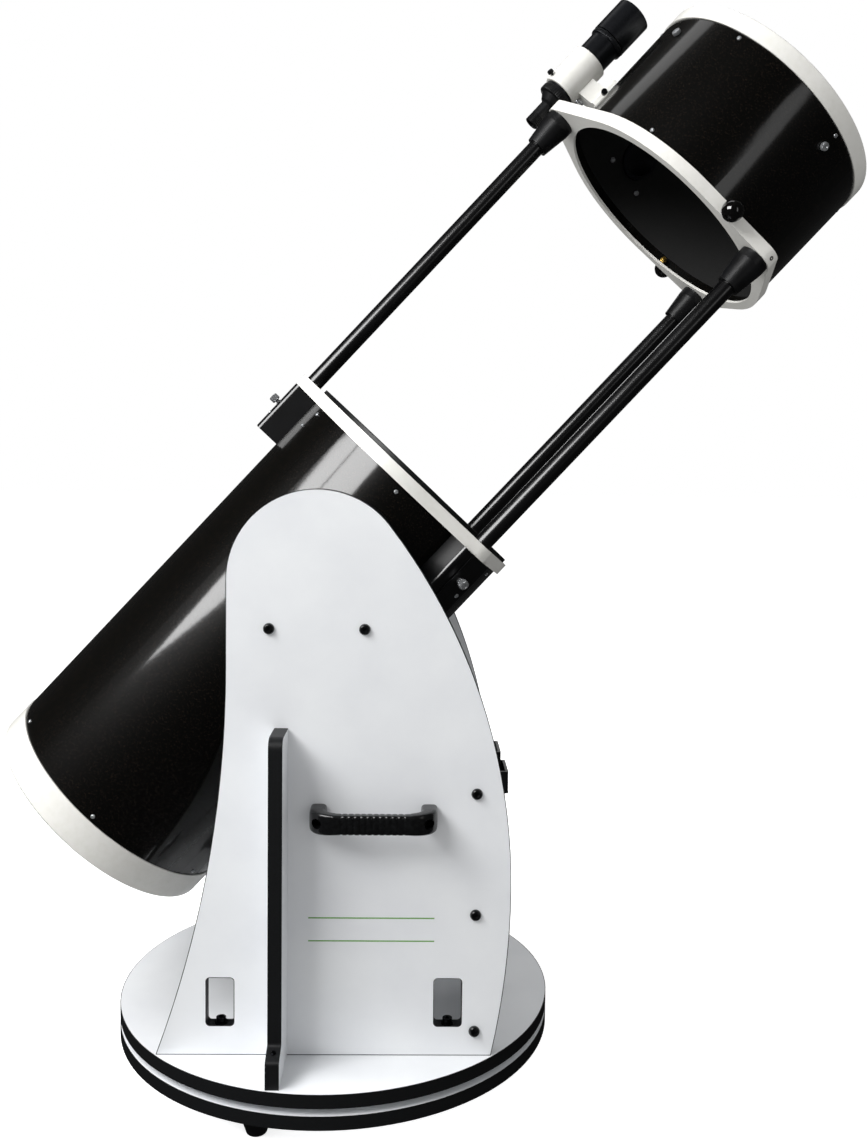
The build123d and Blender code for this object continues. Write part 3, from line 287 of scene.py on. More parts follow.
def flakeEnamelTube():
    # stoved enamel with metal flake on rolled steel: deep black with a warm sparkle under a glossy clear skin
    material, tree, shader = startMaterial("blackFlakeEnamel")
    coords = addNode(tree, "ShaderNodeTexCoord").outputs["Object"]
    cells = addNode(tree, "ShaderNodeTexVoronoi", {"Vector": coords, "Scale": 1000 / flakeEnamel["flakeMm"]})
    pick = addNode(tree, "ShaderNodeSeparateColor", {"Color": cells.outputs["Color"]})
    tint = addNode(tree, "ShaderNodeValToRGB", {"Fac": pick.outputs["Red"]})
    rampColours(tint, [(0.0, flakeEnamel["black"]), (flakeEnamel["flakeFrom"], flakeEnamel["black"]),
                       (0.93, flakeEnamel["flake"]), (1.0, flakeEnamel["brightFlake"])])
    metal = addNode(tree, "ShaderNodeMapRange", {
        "Value": pick.outputs["Red"], "From Min": flakeEnamel["flakeFrom"], "From Max": 0.95,
        "To Min": 0.0, "To Max": flakeEnamel["flakeMetal"]})
    wave = addNode(tree, "ShaderNodeTexNoise", {
        "Vector": coords, "Scale": 1000 / flakeEnamel["waveMm"], "Detail": 1})
    peel = addNode(tree, "ShaderNodeBump", {
        "Height": wave.outputs["Fac"], "Strength": 0.05, "Distance": 0.0006})
    shader.inputs["Roughness"].default_value = flakeEnamel["roughness"]
    shader.inputs["Specular IOR Level"].default_value = flakeEnamel["specular"]
    shader.inputs["Coat Weight"].default_value = flakeEnamel["coat"]
    shader.inputs["Coat Roughness"].default_value = flakeEnamel["coatRoughness"]
    tree.links.new(tint.outputs["Color"], shader.inputs["Base Color"])
    tree.links.new(metal.outputs["Result"], shader.inputs["Metallic"])
    tree.links.new(peel.outputs["Normal"], shader.inputs["Coat Normal"])
    return material


flatBlack = {"black": "#0D0D0D", "grey": "#161615", "grainMm": 1.5, "roughness": 0.82}


def flatBlackLining():
    # sprayed flat black inside the tubes: dull and slightly powdery, so stray light dies in it
    material, tree, shader = startMaterial("flatBlackSpray")
    coords = addNode(tree, "ShaderNodeTexCoord").outputs["Object"]
    grain = addNode(tree, "ShaderNodeTexNoise", {
        "Vector": coords, "Scale": 1000 / flatBlack["grainMm"], "Detail": 3})
    tint = addNode(tree, "ShaderNodeValToRGB", {"Fac": grain.outputs["Fac"]})
    rampColours(tint, [(0.35, flatBlack["black"]), (0.7, flatBlack["grey"])])
    bump = addNode(tree, "ShaderNodeBump", {
        "Height": grain.outputs["Fac"], "Strength": 0.3, "Distance": 0.0003})
    shader.inputs["Roughness"].default_value = flatBlack["roughness"]
    tree.links.new(tint.outputs["Color"], shader.inputs["Base Color"])
    tree.links.new(bump.outputs["Normal"], shader.inputs["Normal"])
    return material


ringEnamel = {
    "white": "#E4E3DE", "shade": "#E0DFD9", "peelMm": 9,
    "roughness": (0.26, 0.32), "coat": 0.3, "coatRoughness": 0.12,
}


def whiteRingEnamel():
    # thick off-white enamel on cast aluminium: soft rounded edges, slight orange peel, a clear shine
    material, tree, shader = startMaterial("whiteRingEnamel")
    coords = addNode(tree, "ShaderNodeTexCoord").outputs["Object"]
    peel = addNode(tree, "ShaderNodeTexNoise", {
        "Vector": coords, "Scale": 1000 / ringEnamel["peelMm"], "Detail": 2})
    tint = addNode(tree, "ShaderNodeValToRGB", {"Fac": peel.outputs["Fac"]})
    rampColours(tint, [(0.3, ringEnamel["shade"]), (0.6, ringEnamel["white"])])
    low, high = ringEnamel["roughness"]
    rough = addNode(tree, "ShaderNodeMapRange", {"Value": peel.outputs["Fac"], "To Min": low, "To Max": high})
    bump = addNode(tree, "ShaderNodeBump", {
        "Height": peel.outputs["Fac"], "Strength": 0.02, "Distance": 0.0004})
    shader.inputs["Coat Weight"].default_value = ringEnamel["coat"]
    shader.inputs["Coat Roughness"].default_value = ringEnamel["coatRoughness"]
    tree.links.new(tint.outputs["Color"], shader.inputs["Base Color"])
    tree.links.new(rough.outputs["Result"], shader.inputs["Roughness"])
    tree.links.new(bump.outputs["Normal"], shader.inputs["Normal"])
    return material


strutPaint = {
    "black": "#060607", "rub": "#0C0C0E", "rubMm": 60,
    "roughness": (0.26, 0.32), "coat": 0.5, "coatRoughness": 0.14,
}


def glossStrutPaint():
    # gloss black paint on drawn steel tube: a thin bright line runs down each strut
    material, tree, shader = startMaterial("glossBlackPaint")
    coords = addNode(tree, "ShaderNodeTexCoord").outputs["Object"]
    rub = addNode(tree, "ShaderNodeTexNoise", {
        "Vector": coords, "Scale": 1000 / strutPaint["rubMm"], "Detail": 5})
    tint = addNode(tree, "ShaderNodeValToRGB", {"Fac": rub.outputs["Fac"]})
    rampColours(tint, [(0.45, strutPaint["black"]), (0.85, strutPaint["rub"])])
    low, high = strutPaint["roughness"]
    rough = addNode(tree, "ShaderNodeMapRange", {"Value": rub.outputs["Fac"], "To Min": low, "To Max": high})
    shader.inputs["Coat Weight"].default_value = strutPaint["coat"]
    shader.inputs["Coat Roughness"].default_value = strutPaint["coatRoughness"]
    tree.links.new(tint.outputs["Color"], shader.inputs["Base Color"])
    tree.links.new(rough.outputs["Result"], shader.inputs["Roughness"])
    return material


mouldedBlack = {
    "black": "#0B0B0C", "worn": "#131416", "sparkMm": 1.0, "handledMm": 25,
    "roughness": (0.34, 0.44), "specular": 0.32,
}


def mouldedBlackAbs():
    # injection-moulded ABS from a spark-textured mould: charcoal black with a fine even grain
    material, tree, shader = startMaterial("mouldedBlackAbs")
    coords = addNode(tree, "ShaderNodeTexCoord").outputs["Object"]
    spark = addNode(tree, "ShaderNodeTexNoise", {
        "Vector": coords, "Scale": 1000 / mouldedBlack["sparkMm"], "Detail": 2})
    handled = addNode(tree, "ShaderNodeTexNoise", {
        "Vector": coords, "Scale": 1000 / mouldedBlack["handledMm"], "Detail": 3})
    tint = addNode(tree, "ShaderNodeValToRGB", {"Fac": handled.outputs["Fac"]})
    rampColours(tint, [(0.35, mouldedBlack["black"]), (0.8, mouldedBlack["worn"])])
    low, high = mouldedBlack["roughness"]
    rough = addNode(tree, "ShaderNodeMapRange", {
        "Value": handled.outputs["Fac"], "To Min": low, "To Max": high})
    bump = addNode(tree, "ShaderNodeBump", {
        "Height": spark.outputs["Fac"], "Strength": 0.12, "Distance": 0.0001})
    shader.inputs["Specular IOR Level"].default_value = mouldedBlack["specular"]
    tree.links.new(tint.outputs["Color"], shader.inputs["Base Color"])
    tree.links.new(rough.outputs["Result"], shader.inputs["Roughness"])
    tree.links.new(bump.outputs["Normal"], shader.inputs["Normal"])
    return material


capBlackSet = {"black": "#0B0B0C", "worn": "#141516", "roughness": 0.22}


def glossyCapPlastic():
    # glossy moulded plastic of the screw caps and handles: black with a wet-looking shine
    material, tree, shader = startMaterial("glossyCapBlack")
    coords = addNode(tree, "ShaderNodeTexCoord").outputs["Object"]
    wear = addNode(tree, "ShaderNodeTexNoise", {"Vector": coords, "Scale": 220, "Detail": 3})
    tint = addNode(tree, "ShaderNodeValToRGB", {"Fac": wear.outputs["Fac"]})
    rampColours(tint, [(0.4, capBlackSet["black"]), (0.8, capBlackSet["worn"])])
    shader.inputs["Roughness"].default_value = capBlackSet["roughness"]
    tree.links.new(tint.outputs["Color"], shader.inputs["Base Color"])
    return material


greenInkSet = {"green": "#5E9A3A", "thin": "#7DB35C", "speckMm": 0.9}


def screenPrintedGreen():
    # screen-printed ink on the laminate: flat green, a little thinner here and there
    material, tree, shader = startMaterial("screenPrintedGreen")
    coords = addNode(tree, "ShaderNodeTexCoord").outputs["Object"]
    speck = addNode(tree, "ShaderNodeTexNoise", {
        "Vector": coords, "Scale": 1000 / greenInkSet["speckMm"], "Detail": 2})
    tint = addNode(tree, "ShaderNodeValToRGB", {"Fac": speck.outputs["Fac"]})
    rampColours(tint, [(0.4, greenInkSet["green"]), (0.75, greenInkSet["thin"])])
    shader.inputs["Roughness"].default_value = 0.5
    tree.links.new(tint.outputs["Color"], shader.inputs["Base Color"])
    return material


ballGrip = {"black": "#050505", "swirl": "#0D0B0A", "swirlScale": 180, "roughness": 0.08, "coat": 0.8}


def polishedPhenolic():
    # polished phenolic: almost mirror black, so the studio shows in it as a small bright window
    material, tree, shader = startMaterial("polishedPhenolic")
    coords = addNode(tree, "ShaderNodeTexCoord").outputs["Object"]
    swirl = addNode(tree, "ShaderNodeTexNoise", {
        "Vector": coords, "Scale": ballGrip["swirlScale"], "Detail": 4, "Distortion": 1.5})
    tint = addNode(tree, "ShaderNodeValToRGB", {"Fac": swirl.outputs["Fac"]})
    rampColours(tint, [(0.4, ballGrip["black"]), (0.8, ballGrip["swirl"])])
    shader.inputs["Roughness"].default_value = ballGrip["roughness"]
    shader.inputs["Coat Weight"].default_value = ballGrip["coat"]
    tree.links.new(tint.outputs["Color"], shader.inputs["Base Color"])
    return material


metals = {
    # name: colour, darker spot, roughness low and high, grain in mm, metallic share
    # screws blackened in hot salts: dark, slightly oily
    "blackOxideSteel": ("#1B1C1E", "#0F1011", 0.30, 0.45, 2.0, 1.0),
    # bright zinc: pale bluish silver, a little cloudy
    "zincPlatedSteel": ("#C4C6C8", "#9EA1A4", 0.26, 0.38, 3.0, 0.72),
    # chrome plate: sharp reflections
    "polishedChrome": ("#D9DBDD", "#C9CBCE", 0.08, 0.14, 8.0, 0.80),
    # drawn wire: grey with fine drawing marks
    "springWire": ("#8F9194", "#6E7073", 0.25, 0.38, 1.5, 0.9),
    # ground and hardened steel: bright and even
    "bearingSteel": ("#AEB0B3", "#8E9194", 0.14, 0.24, 6.0, 0.9),
    # turned brass: warm yellow
    "brassInsert": ("#B8974A", "#8E7236", 0.22, 0.34, 2.0, 0.9),
}


def plainMetal(name):
    bright, dark, low, high, grainMm, metallic = metals[name]
    material, tree, shader = startMaterial(name)
    coords = addNode(tree, "ShaderNodeTexCoord").outputs["Object"]
    grain = addNode(tree, "ShaderNodeTexNoise", {"Vector": coords, "Scale": 1000 / grainMm, "Detail": 4})
    tint = addNode(tree, "ShaderNodeValToRGB", {"Fac": grain.outputs["Fac"]})
    rampColours(tint, [(0.3, dark), (0.7, bright)])
    rough = addNode(tree, "ShaderNodeMapRange", {
        "Value": grain.outputs["Fac"], "To Min": low, "To Max": high})
    shader.inputs["Metallic"].default_value = metallic
    tree.links.new(tint.outputs["Color"], shader.inputs["Base Color"])
    tree.links.new(rough.outputs["Result"], shader.inputs["Roughness"])
    return material


castCell = {"grey": "#1A1B1D", "light": "#2B2D30", "castMm": 2.2, "roughness": (0.42, 0.58)}


def paintedCasting():
    # sand-cast aluminium under satin black: the skin keeps the grain of the mould
    material, tree, shader = startMaterial("paintedCasting")
    coords = addNode(tree, "ShaderNodeTexCoord").outputs["Object"]
    cast = addNode(tree, "ShaderNodeTexNoise", {
        "Vector": coords, "Scale": 1000 / castCell["castMm"], "Detail": 4})
    tint = addNode(tree, "ShaderNodeValToRGB", {"Fac": cast.outputs["Fac"]})
    rampColours(tint, [(0.35, castCell["grey"]), (0.8, castCell["light"])])
    low, high = castCell["roughness"]
    rough = addNode(tree, "ShaderNodeMapRange", {"Value": cast.outputs["Fac"], "To Min": low, "To Max": high})
    bump = addNode(tree, "ShaderNodeBump", {
        "Height": cast.outputs["Fac"], "Strength": 0.35, "Distance": 0.0004})
    tree.links.new(tint.outputs["Color"], shader.inputs["Base Color"])
    tree.links.new(rough.outputs["Result"], shader.inputs["Roughness"])
    tree.links.new(bump.outputs["Normal"], shader.inputs["Normal"])
    return material


mirrorCoat = {"silver": "#EEF1F3", "ground": "#8FA39A", "radius": 152.5, "rimInside": 1.2}


def aluminisedGlass():
    # vacuum-coated aluminium on glass: a clean mirror, with the bare ground glass greenish on its rim
    material, tree, shader = startMaterial("primaryMirrorGlass")
    coords = addNode(tree, "ShaderNodeTexCoord").outputs["Object"]
    arm = addNode(tree, "ShaderNodeVectorMath", {0: coords, 1: altitudePoint}, operation="SUBTRACT")
    side = addNode(tree, "ShaderNodeVectorMath", {0: arm.outputs[0], 1: along}, operation="CROSS_PRODUCT")
    length = addNode(tree, "ShaderNodeVectorMath", {0: side.outputs[0]}, operation="LENGTH")
    edge = (mirrorCoat["radius"] - mirrorCoat["rimInside"]) / 1000
    rim = addNode(tree, "ShaderNodeMapRange", {
        "Value": length.outputs["Value"], "From Min": edge, "From Max": edge + 0.0003,
        "To Min": 0.0, "To Max": 1.0})
    tint = addNode(tree, "ShaderNodeValToRGB", {"Fac": rim.outputs["Result"]})
    rampColours(tint, [(0.0, mirrorCoat["silver"]), (1.0, mirrorCoat["ground"])])
    rough = addNode(tree, "ShaderNodeMapRange", {
        "Value": rim.outputs["Result"], "To Min": 0.015, "To Max": 0.6})
    metal = addNode(tree, "ShaderNodeMapRange", {
        "Value": rim.outputs["Result"], "To Min": 1.0, "To Max": 0.0})
    tree.links.new(tint.outputs["Color"], shader.inputs["Base Color"])
    tree.links.new(rough.outputs["Result"], shader.inputs["Roughness"])
    tree.links.new(metal.outputs["Result"], shader.inputs["Metallic"])
    return material


def diagonalCoat():
    # the diagonal's bright aluminium coat, over all of the small glass
    material, tree, shader = startMaterial("diagonalMirrorCoat")
    coords = addNode(tree, "ShaderNodeTexCoord").outputs["Object"]
    haze = addNode(tree, "ShaderNodeTexNoise", {"Vector": coords, "Scale": 60, "Detail": 2})
    rough = addNode(tree, "ShaderNodeMapRange", {
        "Value": haze.outputs["Fac"], "To Min": 0.015, "To Max": 0.035})
    shader.inputs["Base Color"].default_value = linearColour(mirrorCoat["silver"])
    shader.inputs["Metallic"].default_value = 1.0
    tree.links.new(rough.outputs["Result"], shader.inputs["Roughness"])
    return material


lensGlass = {"tint": "#C9D3F2", "deep": "#AEBBE8"}


def coatedLensGlass():
    # ground and polished crown glass with a blue-violet bloom coating
    material, tree, shader = startMaterial("coatedLensGlass")
    coords = addNode(tree, "ShaderNodeTexCoord").outputs["Object"]
    bloom = addNode(tree, "ShaderNodeTexNoise", {"Vector": coords, "Scale": 30, "Detail": 1})
    tint = addNode(tree, "ShaderNodeValToRGB", {"Fac": bloom.outputs["Fac"]})
    rampColours(tint, [(0.3, lensGlass["deep"]), (0.7, lensGlass["tint"])])
    shader.inputs["Roughness"].default_value = 0.02
    shader.inputs["IOR"].default_value = 1.52
    shader.inputs["Transmission Weight"].default_value = 1.0
    shader.inputs["Coat Weight"].default_value = 0.6
    tree.links.new(tint.outputs["Color"], shader.inputs["Base Color"])
    return material


nylonSet = {"cream": "#D9D6CA", "shade": "#C6C2B4", "roughness": 0.48}


def naturalNylon():
    # machined natural nylon: milky cream, a little waxy
    material, tree, shader = startMaterial("naturalNylon")
    coords = addNode(tree, "ShaderNodeTexCoord").outputs["Object"]
    cloud = addNode(tree, "ShaderNodeTexNoise", {"Vector": coords, "Scale": 90, "Detail": 3})
    tint = addNode(tree, "ShaderNodeValToRGB", {"Fac": cloud.outputs["Fac"]})
    rampColours(tint, [(0.35, nylonSet["shade"]), (0.7, nylonSet["cream"])])
    shader.inputs["Roughness"].default_value = nylonSet["roughness"]
    shader.inputs["Subsurface Weight"].default_value = 0.08
    tree.links.new(tint.outputs["Color"], shader.inputs["Base Color"])
    return material


anodised = {
    "black": "#131417", "light": "#212327", "blastMm": 0.9,
    "roughness": (0.28, 0.40), "metallic": 0.6,
}


def blackAnodised():
    # bead-blasted and anodised aluminium: satin black with a metallic edge to its highlights
    material, tree, shader = startMaterial("blackAnodised")
    coords = addNode(tree, "ShaderNodeTexCoord").outputs["Object"]
    blast = addNode(tree, "ShaderNodeTexNoise", {
        "Vector": coords, "Scale": 1000 / anodised["blastMm"], "Detail": 2})
    tint = addNode(tree, "ShaderNodeValToRGB", {"Fac": blast.outputs["Fac"]})
    rampColours(tint, [(0.35, anodised["black"]), (0.75, anodised["light"])])
    low, high = anodised["roughness"]
    rough = addNode(tree, "ShaderNodeMapRange", {
        "Value": blast.outputs["Fac"], "To Min": low, "To Max": high})
    bump = addNode(tree, "ShaderNodeBump", {
        "Height": blast.outputs["Fac"], "Strength": 0.12, "Distance": 0.0001})
    shader.inputs["Metallic"].default_value = anodised["metallic"]
    tree.links.new(tint.outputs["Color"], shader.inputs["Base Color"])
    tree.links.new(rough.outputs["Result"], shader.inputs["Roughness"])
    tree.links.new(bump.outputs["Normal"], shader.inputs["Normal"])
    return material


floorSet = {"pale": "#F8F8F8", "shade": "#F3F3F3", "half": 40.0, "roughness": 0.9, "glow": 0.72}


def paleFloorPaint():
    # seamless studio paper: flat, matt and nearly white
    material, tree, shader = startMaterial("paleStudioPaper")
    coords = addNode(tree, "ShaderNodeTexCoord").outputs["Object"]
    cloud = addNode(tree, "ShaderNodeTexNoise", {"Vector": coords, "Scale": 0.6, "Detail": 2})
    tint = addNode(tree, "ShaderNodeValToRGB", {"Fac": cloud.outputs["Fac"]})
    rampColours(tint, [(0.3, floorSet["shade"]), (0.7, floorSet["pale"])])
    shader.inputs["Roughness"].default_value = floorSet["roughness"]
    shader.inputs["Emission Color"].default_value = linearColour(floorSet["pale"])
    shader.inputs["Emission Strength"].default_value = floorSet["glow"]
    tree.links.new(tint.outputs["Color"], shader.inputs["Base Color"])
    return material


finishes = {
    "melamine": melamineBoard(),
    "edgeTape": pvcEdgeBand(),
    "flakeEnamel": flakeEnamelTube(),
    "flatBlack": flatBlackLining(),
    "ringEnamel": whiteRingEnamel(),
    "strutPaint": glossStrutPaint(),
    "abs": mouldedBlackAbs(),
    "phenolic": polishedPhenolic(),
    "capBlack": glossyCapPlastic(),
    "greenInk": screenPrintedGreen(),
    "blackScrew": plainMetal("blackOxideSteel"),
    "zinc": plainMetal("zincPlatedSteel"),
    "chrome": plainMetal("polishedChrome"),
    "springWire": plainMetal("springWire"),
    "bearing": plainMetal("bearingSteel"),
    "brass": plainMetal("brassInsert"),
    "casting": paintedCasting(),
    "primaryMirror": aluminisedGlass(),
    "diagonal": diagonalCoat(),
    "lens": coatedLensGlass(),
    "nylon": naturalNylon(),
    "anodised": blackAnodised(),
    "floor": paleFloorPaint(),
}
print("finishes are mixed:", len(finishes))

nodeFinish = {
    "melamine": "ground_board azimuth_board near_side_panel far_side_panel side_gussets front_board",
    "edgeTape": "ground_board_edging azimuth_board_edging panel_edging",
    "flakeEnamel": "lower_tube cage_tube",
    "ringEnamel": "rear_ring mid_ring cage_lower_ring cage_front_ring finder_shoe finder_bracket",
    "strutPaint": "top_strut near_strut far_strut strut_housings",
    "abs": "ground_feet altitude_cradles encoder_housing handset_holder carry_handles panel_screws"
           " strut_sockets collimation_knob_1 collimation_knob_2 collimation_knob_3 focus_knobs"
           " finder_eyepiece finder_screws",
    "phenolic": "grab_knobs",
    "bearing": "bearing_lower_race bearing_upper_race bearing_rollers",
    "nylon": "pivot_bush roller_cage",
    "zinc": "azimuth_pivot_bolt tube_screws cage_screws",
    "blackScrew": "hold_down_bolts",
    "chrome": "top_strut_lock near_strut_lock far_strut_lock",
    "casting": "mirror_cell mirror_clips spider secondary_holder trunnions",
    "primaryMirror": "primary_mirror",
    "diagonal": "secondary_mirror",
    "springWire": "collimation_springs",
    "anodised": "focuser_base focuser_drawtube finder_tube finder_dew_shield",
    "lens": "finder_lens",
}
for finish, names in nodeFinish.items():
    for name in names.split():
        node = frame["nodes"][name]
        node.data.materials.clear()
        node.data.materials.append(finishes[finish])
print("the frame's own parts are painted")


# ---- tools for the small turned and moulded pieces, all drawn in millimetres

def ringReach(shape, radius, angle):
    if shape == "hex":
        corner = (math.degrees(angle) + 30) % 60 - 30
        return radius * math.cos(math.radians(30)) / math.cos(math.radians(corner))
    if shape == "cross":
        c, s, slim = abs(math.cos(angle)) + 1e-9, abs(math.sin(angle)) + 1e-9, radius * 0.3
        return max(min(radius / c, slim / s), min(slim / c, radius / s))
    if isinstance(shape, tuple):      # (number of ribs, rib depth)
        count, depth = shape
        return radius - depth * (0.5 - 0.5 * math.cos(count * angle))
    return radius


def turned(rows, segments=72):
    # rows run from one end to the other: (radius, height) or (radius, height, shape)
    points, faces, rings = [], [], []
    for row in rows:
        radius, height = row[0], row[1]
        shape = row[2] if len(row) > 2 else None
        if radius == 0:
            rings.append([len(points)])
            points.append((0, 0, height))
            continue
        start = len(points)
        for step in range(segments):
            angle = 2 * math.pi * step / segments
            reach = ringReach(shape, radius, angle)
            points.append((reach * math.cos(angle), reach * math.sin(angle), height))
        rings.append(list(range(start, start + segments)))
    for lower, upper in zip(rings, rings[1:]):
        for step in range(segments):
            after = (step + 1) % segments
            if len(lower) == 1 and len(upper) > 1:
                faces.append((lower[0], upper[after], upper[step]))
            elif len(upper) == 1 and len(lower) > 1:
                faces.append((lower[step], lower[after], upper[0]))
            elif len(upper) > 1:
                faces.append((lower[step], lower[after], upper[after], upper[step]))
    return points, faces


def standing(foot, outward, side=None):
    # a place whose Z runs outward from foot, and whose X lies towards side
    z = Vector(outward).normalized()
    guide = Vector(side) if side is not None else (along if abs(z.dot(along)) < 0.9 else near)
    x = (guide - z * guide.dot(z)).normalized()
    y = z.cross(x)
    return Matrix.Translation(foot) @ Matrix((x, y, z)).transposed().to_4x4()


def joinedMesh(name, shapes):
    # shapes: (points in mm, faces, place) for each copy, joined as one mesh in the frame's own space
    points, faces = [], []
    for shapePoints, shapeFaces, place in shapes:
        start = len(points)
        points += [place @ (Vector(point) / 1000) for point in shapePoints]
        faces += [tuple(index + start for index in face) for face in shapeFaces]
    mesh = bpy.data.meshes.new(name)
    mesh.from_pydata(points, [], faces)
    return mesh


def makePiece(name, shapes, finish, body, instead=(), sharp=32):
    mesh = joinedMesh(name, shapes)
    mesh.validate()
    mesh.shade_smooth()
    mesh.set_sharp_from_angle(angle=math.radians(sharp))
    mesh.materials.append(finishes[finish])
    piece = bpy.data.objects.new(name, mesh)
    bpy.context.scene.collection.objects.link(piece)
    if instead:
        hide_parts(*instead)
    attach(piece, body)
    return piece


def drillOut(piece, cutter):
    cut = piece.modifiers.new("drill", "BOOLEAN")
    cut.operation = "DIFFERENCE"
    cut.object = cutter
    bpy.context.view_layer.update()
    shaped = bpy.data.meshes.new_from_object(piece.evaluated_get(bpy.context.evaluated_depsgraph_get()))
    piece.modifiers.clear()
    piece.data = shaped
    bpy.data.objects.remove(cutter)


def cutterPiece(shapes):
    cutter = bpy.data.objects.new("cutter", joinedMesh("cutter", shapes))
    bpy.context.scene.collection.objects.link(cutter)
    return cutter


# ---- rocker: screws, handles, printed rules

capScrew = {
    "radius": 7.5, "height": 5.0, "hexReach": 3.4, "hexDeep": 3.2,
    "frontHeights": (33.4, 191.3, 354.0), "cradleAside": 62.6, "cradleBelow": 64.0,
}


def addCapScrews():
    r, h = capScrew["radius"], capScrew["height"]
    dome = [(r - 0.3, 0), (r, 0.3)]
    for step in range(1, 9):
        turn = math.radians(step * 9.5)
        dome.append((4.4 + (r - 4.4) * math.cos(turn), 0.3 + (h - 0.3) * math.sin(turn)))
    dome += [(4.2, h), (capScrew["hexReach"] + 0.3, h - 0.05, "hex"), (capScrew["hexReach"], h - 0.5, "hex"),
             (capScrew["hexReach"], h - capScrew["hexDeep"], "hex"), (0, h - capScrew["hexDeep"] - 0.6)]
    points, faces = turned(dome)
    low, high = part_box("front_board")
    boardX = (low.x + high.x) / 2
    spots = [(boardX, deckTop + up / 1000) for up in capScrew["frontHeights"]]
    aside, below = capScrew["cradleAside"] / 1000, capScrew["cradleBelow"] / 1000
    spots += [(altitudePoint.x + way * aside, altitudePoint.z - below) for way in (-1, 1)]
    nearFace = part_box("near_side_panel")[0].y
    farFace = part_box("far_side_panel")[1].y
    shapes = []
    for x, z in spots:
        turnSide = Vector((math.cos(x * 90), 0, math.sin(x * 90)))
        shapes.append((points, faces, standing((x, nearFace, z), (0, -1, 0), turnSide)))
        shapes.append((points, faces, standing((x, farFace, z), (0, 1, 0), turnSide)))
    makePiece("panelScrewHeads", shapes, "capBlack", "rocker", ["panel_screws"])
    dome = [(3.6 * math.cos(math.radians(a)), 1.8 * math.sin(math.radians(a))) for a in (20, 45, 70)]
    foot = turned([(3.6, 0)] + dome + [(1.9, 1.7, "cross"), (1.9, 0.9, "cross"), (0, 0.7)])
    gussetX = sum(corner.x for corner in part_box("side_gussets")) / 2
    low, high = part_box("side_gussets")
    shapes = []
    for way, face in ((-1, low.y), (1, high.y)):
        out = Vector((0, way * 0.35, 0.94))
        shapes.append((*foot, standing((gussetX, face - way * 0.0125, deckTop + 0.0412), out)))
    makePiece("gussetFootScrews", shapes, "blackScrew", "rocker")


handleSet = {
    "holes": 72.6,         # each side of the middle
    "path": ((-72.6, 0.2), (-72.6, 12), (-72.3, 21), (-69, 29),
             (-62, 34.8), (-52, 38.0), (-44, 38.8), (0, 38.8)),
    "thick": (22, 22, 21, 18.5, 16.5, 15, 14, 14),
    "tall": (30, 30, 30, 29.4, 28.4, 27, 26, 26),
    "ribPitch": 8.0, "ribDepth": 0.9, "ribReach": 43,
    "recess": 6.4, "recessFloor": 13,
    "x": 64.5, "overDeck": 325,
}


def handleShape():
    # the bow is swept: each station has its own thickness and height, and the grip is ribbed
    path = [Vector((u, w)) for u, w in handleSet["path"]]
    thick, tall = list(handleSet["thick"]), list(handleSet["tall"])
    path += [Vector((-p.x, p.y)) for p in reversed(path[:-1])]
    thick += thick[-2::-1]
    tall += tall[-2::-1]
    stations = []
    for i in range(len(path) - 1):
        before, here, after = path[max(i - 1, 0)], path[i], path[i + 1]
        beyond = path[min(i + 2, len(path) - 1)]
        steps = max(3, round((after - here).length / 1.0))
        for step in range(steps):
            t = step / steps
            spot = 0.5 * (2 * here + (after - before) * t
                          + (2 * before - 5 * here + 4 * after - beyond) * t ** 2
                          + (3 * here - before - 3 * after + beyond) * t ** 3)
            deep = thick[i] + (thick[i + 1] - thick[i]) * t
            high = tall[i] + (tall[i + 1] - tall[i]) * t
            stations.append((spot, deep, high))
    stations.append((path[-1], thick[-1], tall[-1]))
    points, faces, around = [], [], 48
    for i, (spot, deep, high) in enumerate(stations):
        run = stations[min(i + 1, len(stations) - 1)][0] - stations[max(i - 1, 0)][0]
        run.normalize()
        across = Vector((-run.y, run.x))
        rib = 0.0
        if abs(spot.x) < handleSet["ribReach"]:
            wave = 0.5 + 0.5 * math.cos(2 * math.pi * spot.x / handleSet["ribPitch"])
            rib = handleSet["ribDepth"] * wave ** 4
        for step in range(around):
            angle = 2 * math.pi * step / around
            c, s = math.cos(angle), math.sin(angle)
            outer = max(0.0, c)
            u = (deep / 2 - rib * (0.3 + 0.7 * outer)) * math.copysign(abs(c) ** 0.42, c)
            v = (high / 2 - rib * 0.8) * math.copysign(abs(s) ** 0.42, s)
            flat = spot + across * u
            points.append((flat.x, v, max(flat.y, 0.1)))
    for ring in range(len(stations) - 1):
        for step in range(around):
            after = (step + 1) % around
            a, b = ring * around, (ring + 1) * around
            faces.append((a + step, b + step, b + after, a + after))
    faces.append(tuple(range(around)))
    faces.append(tuple(reversed(range(len(points) - around, len(points)))))
    return points, faces


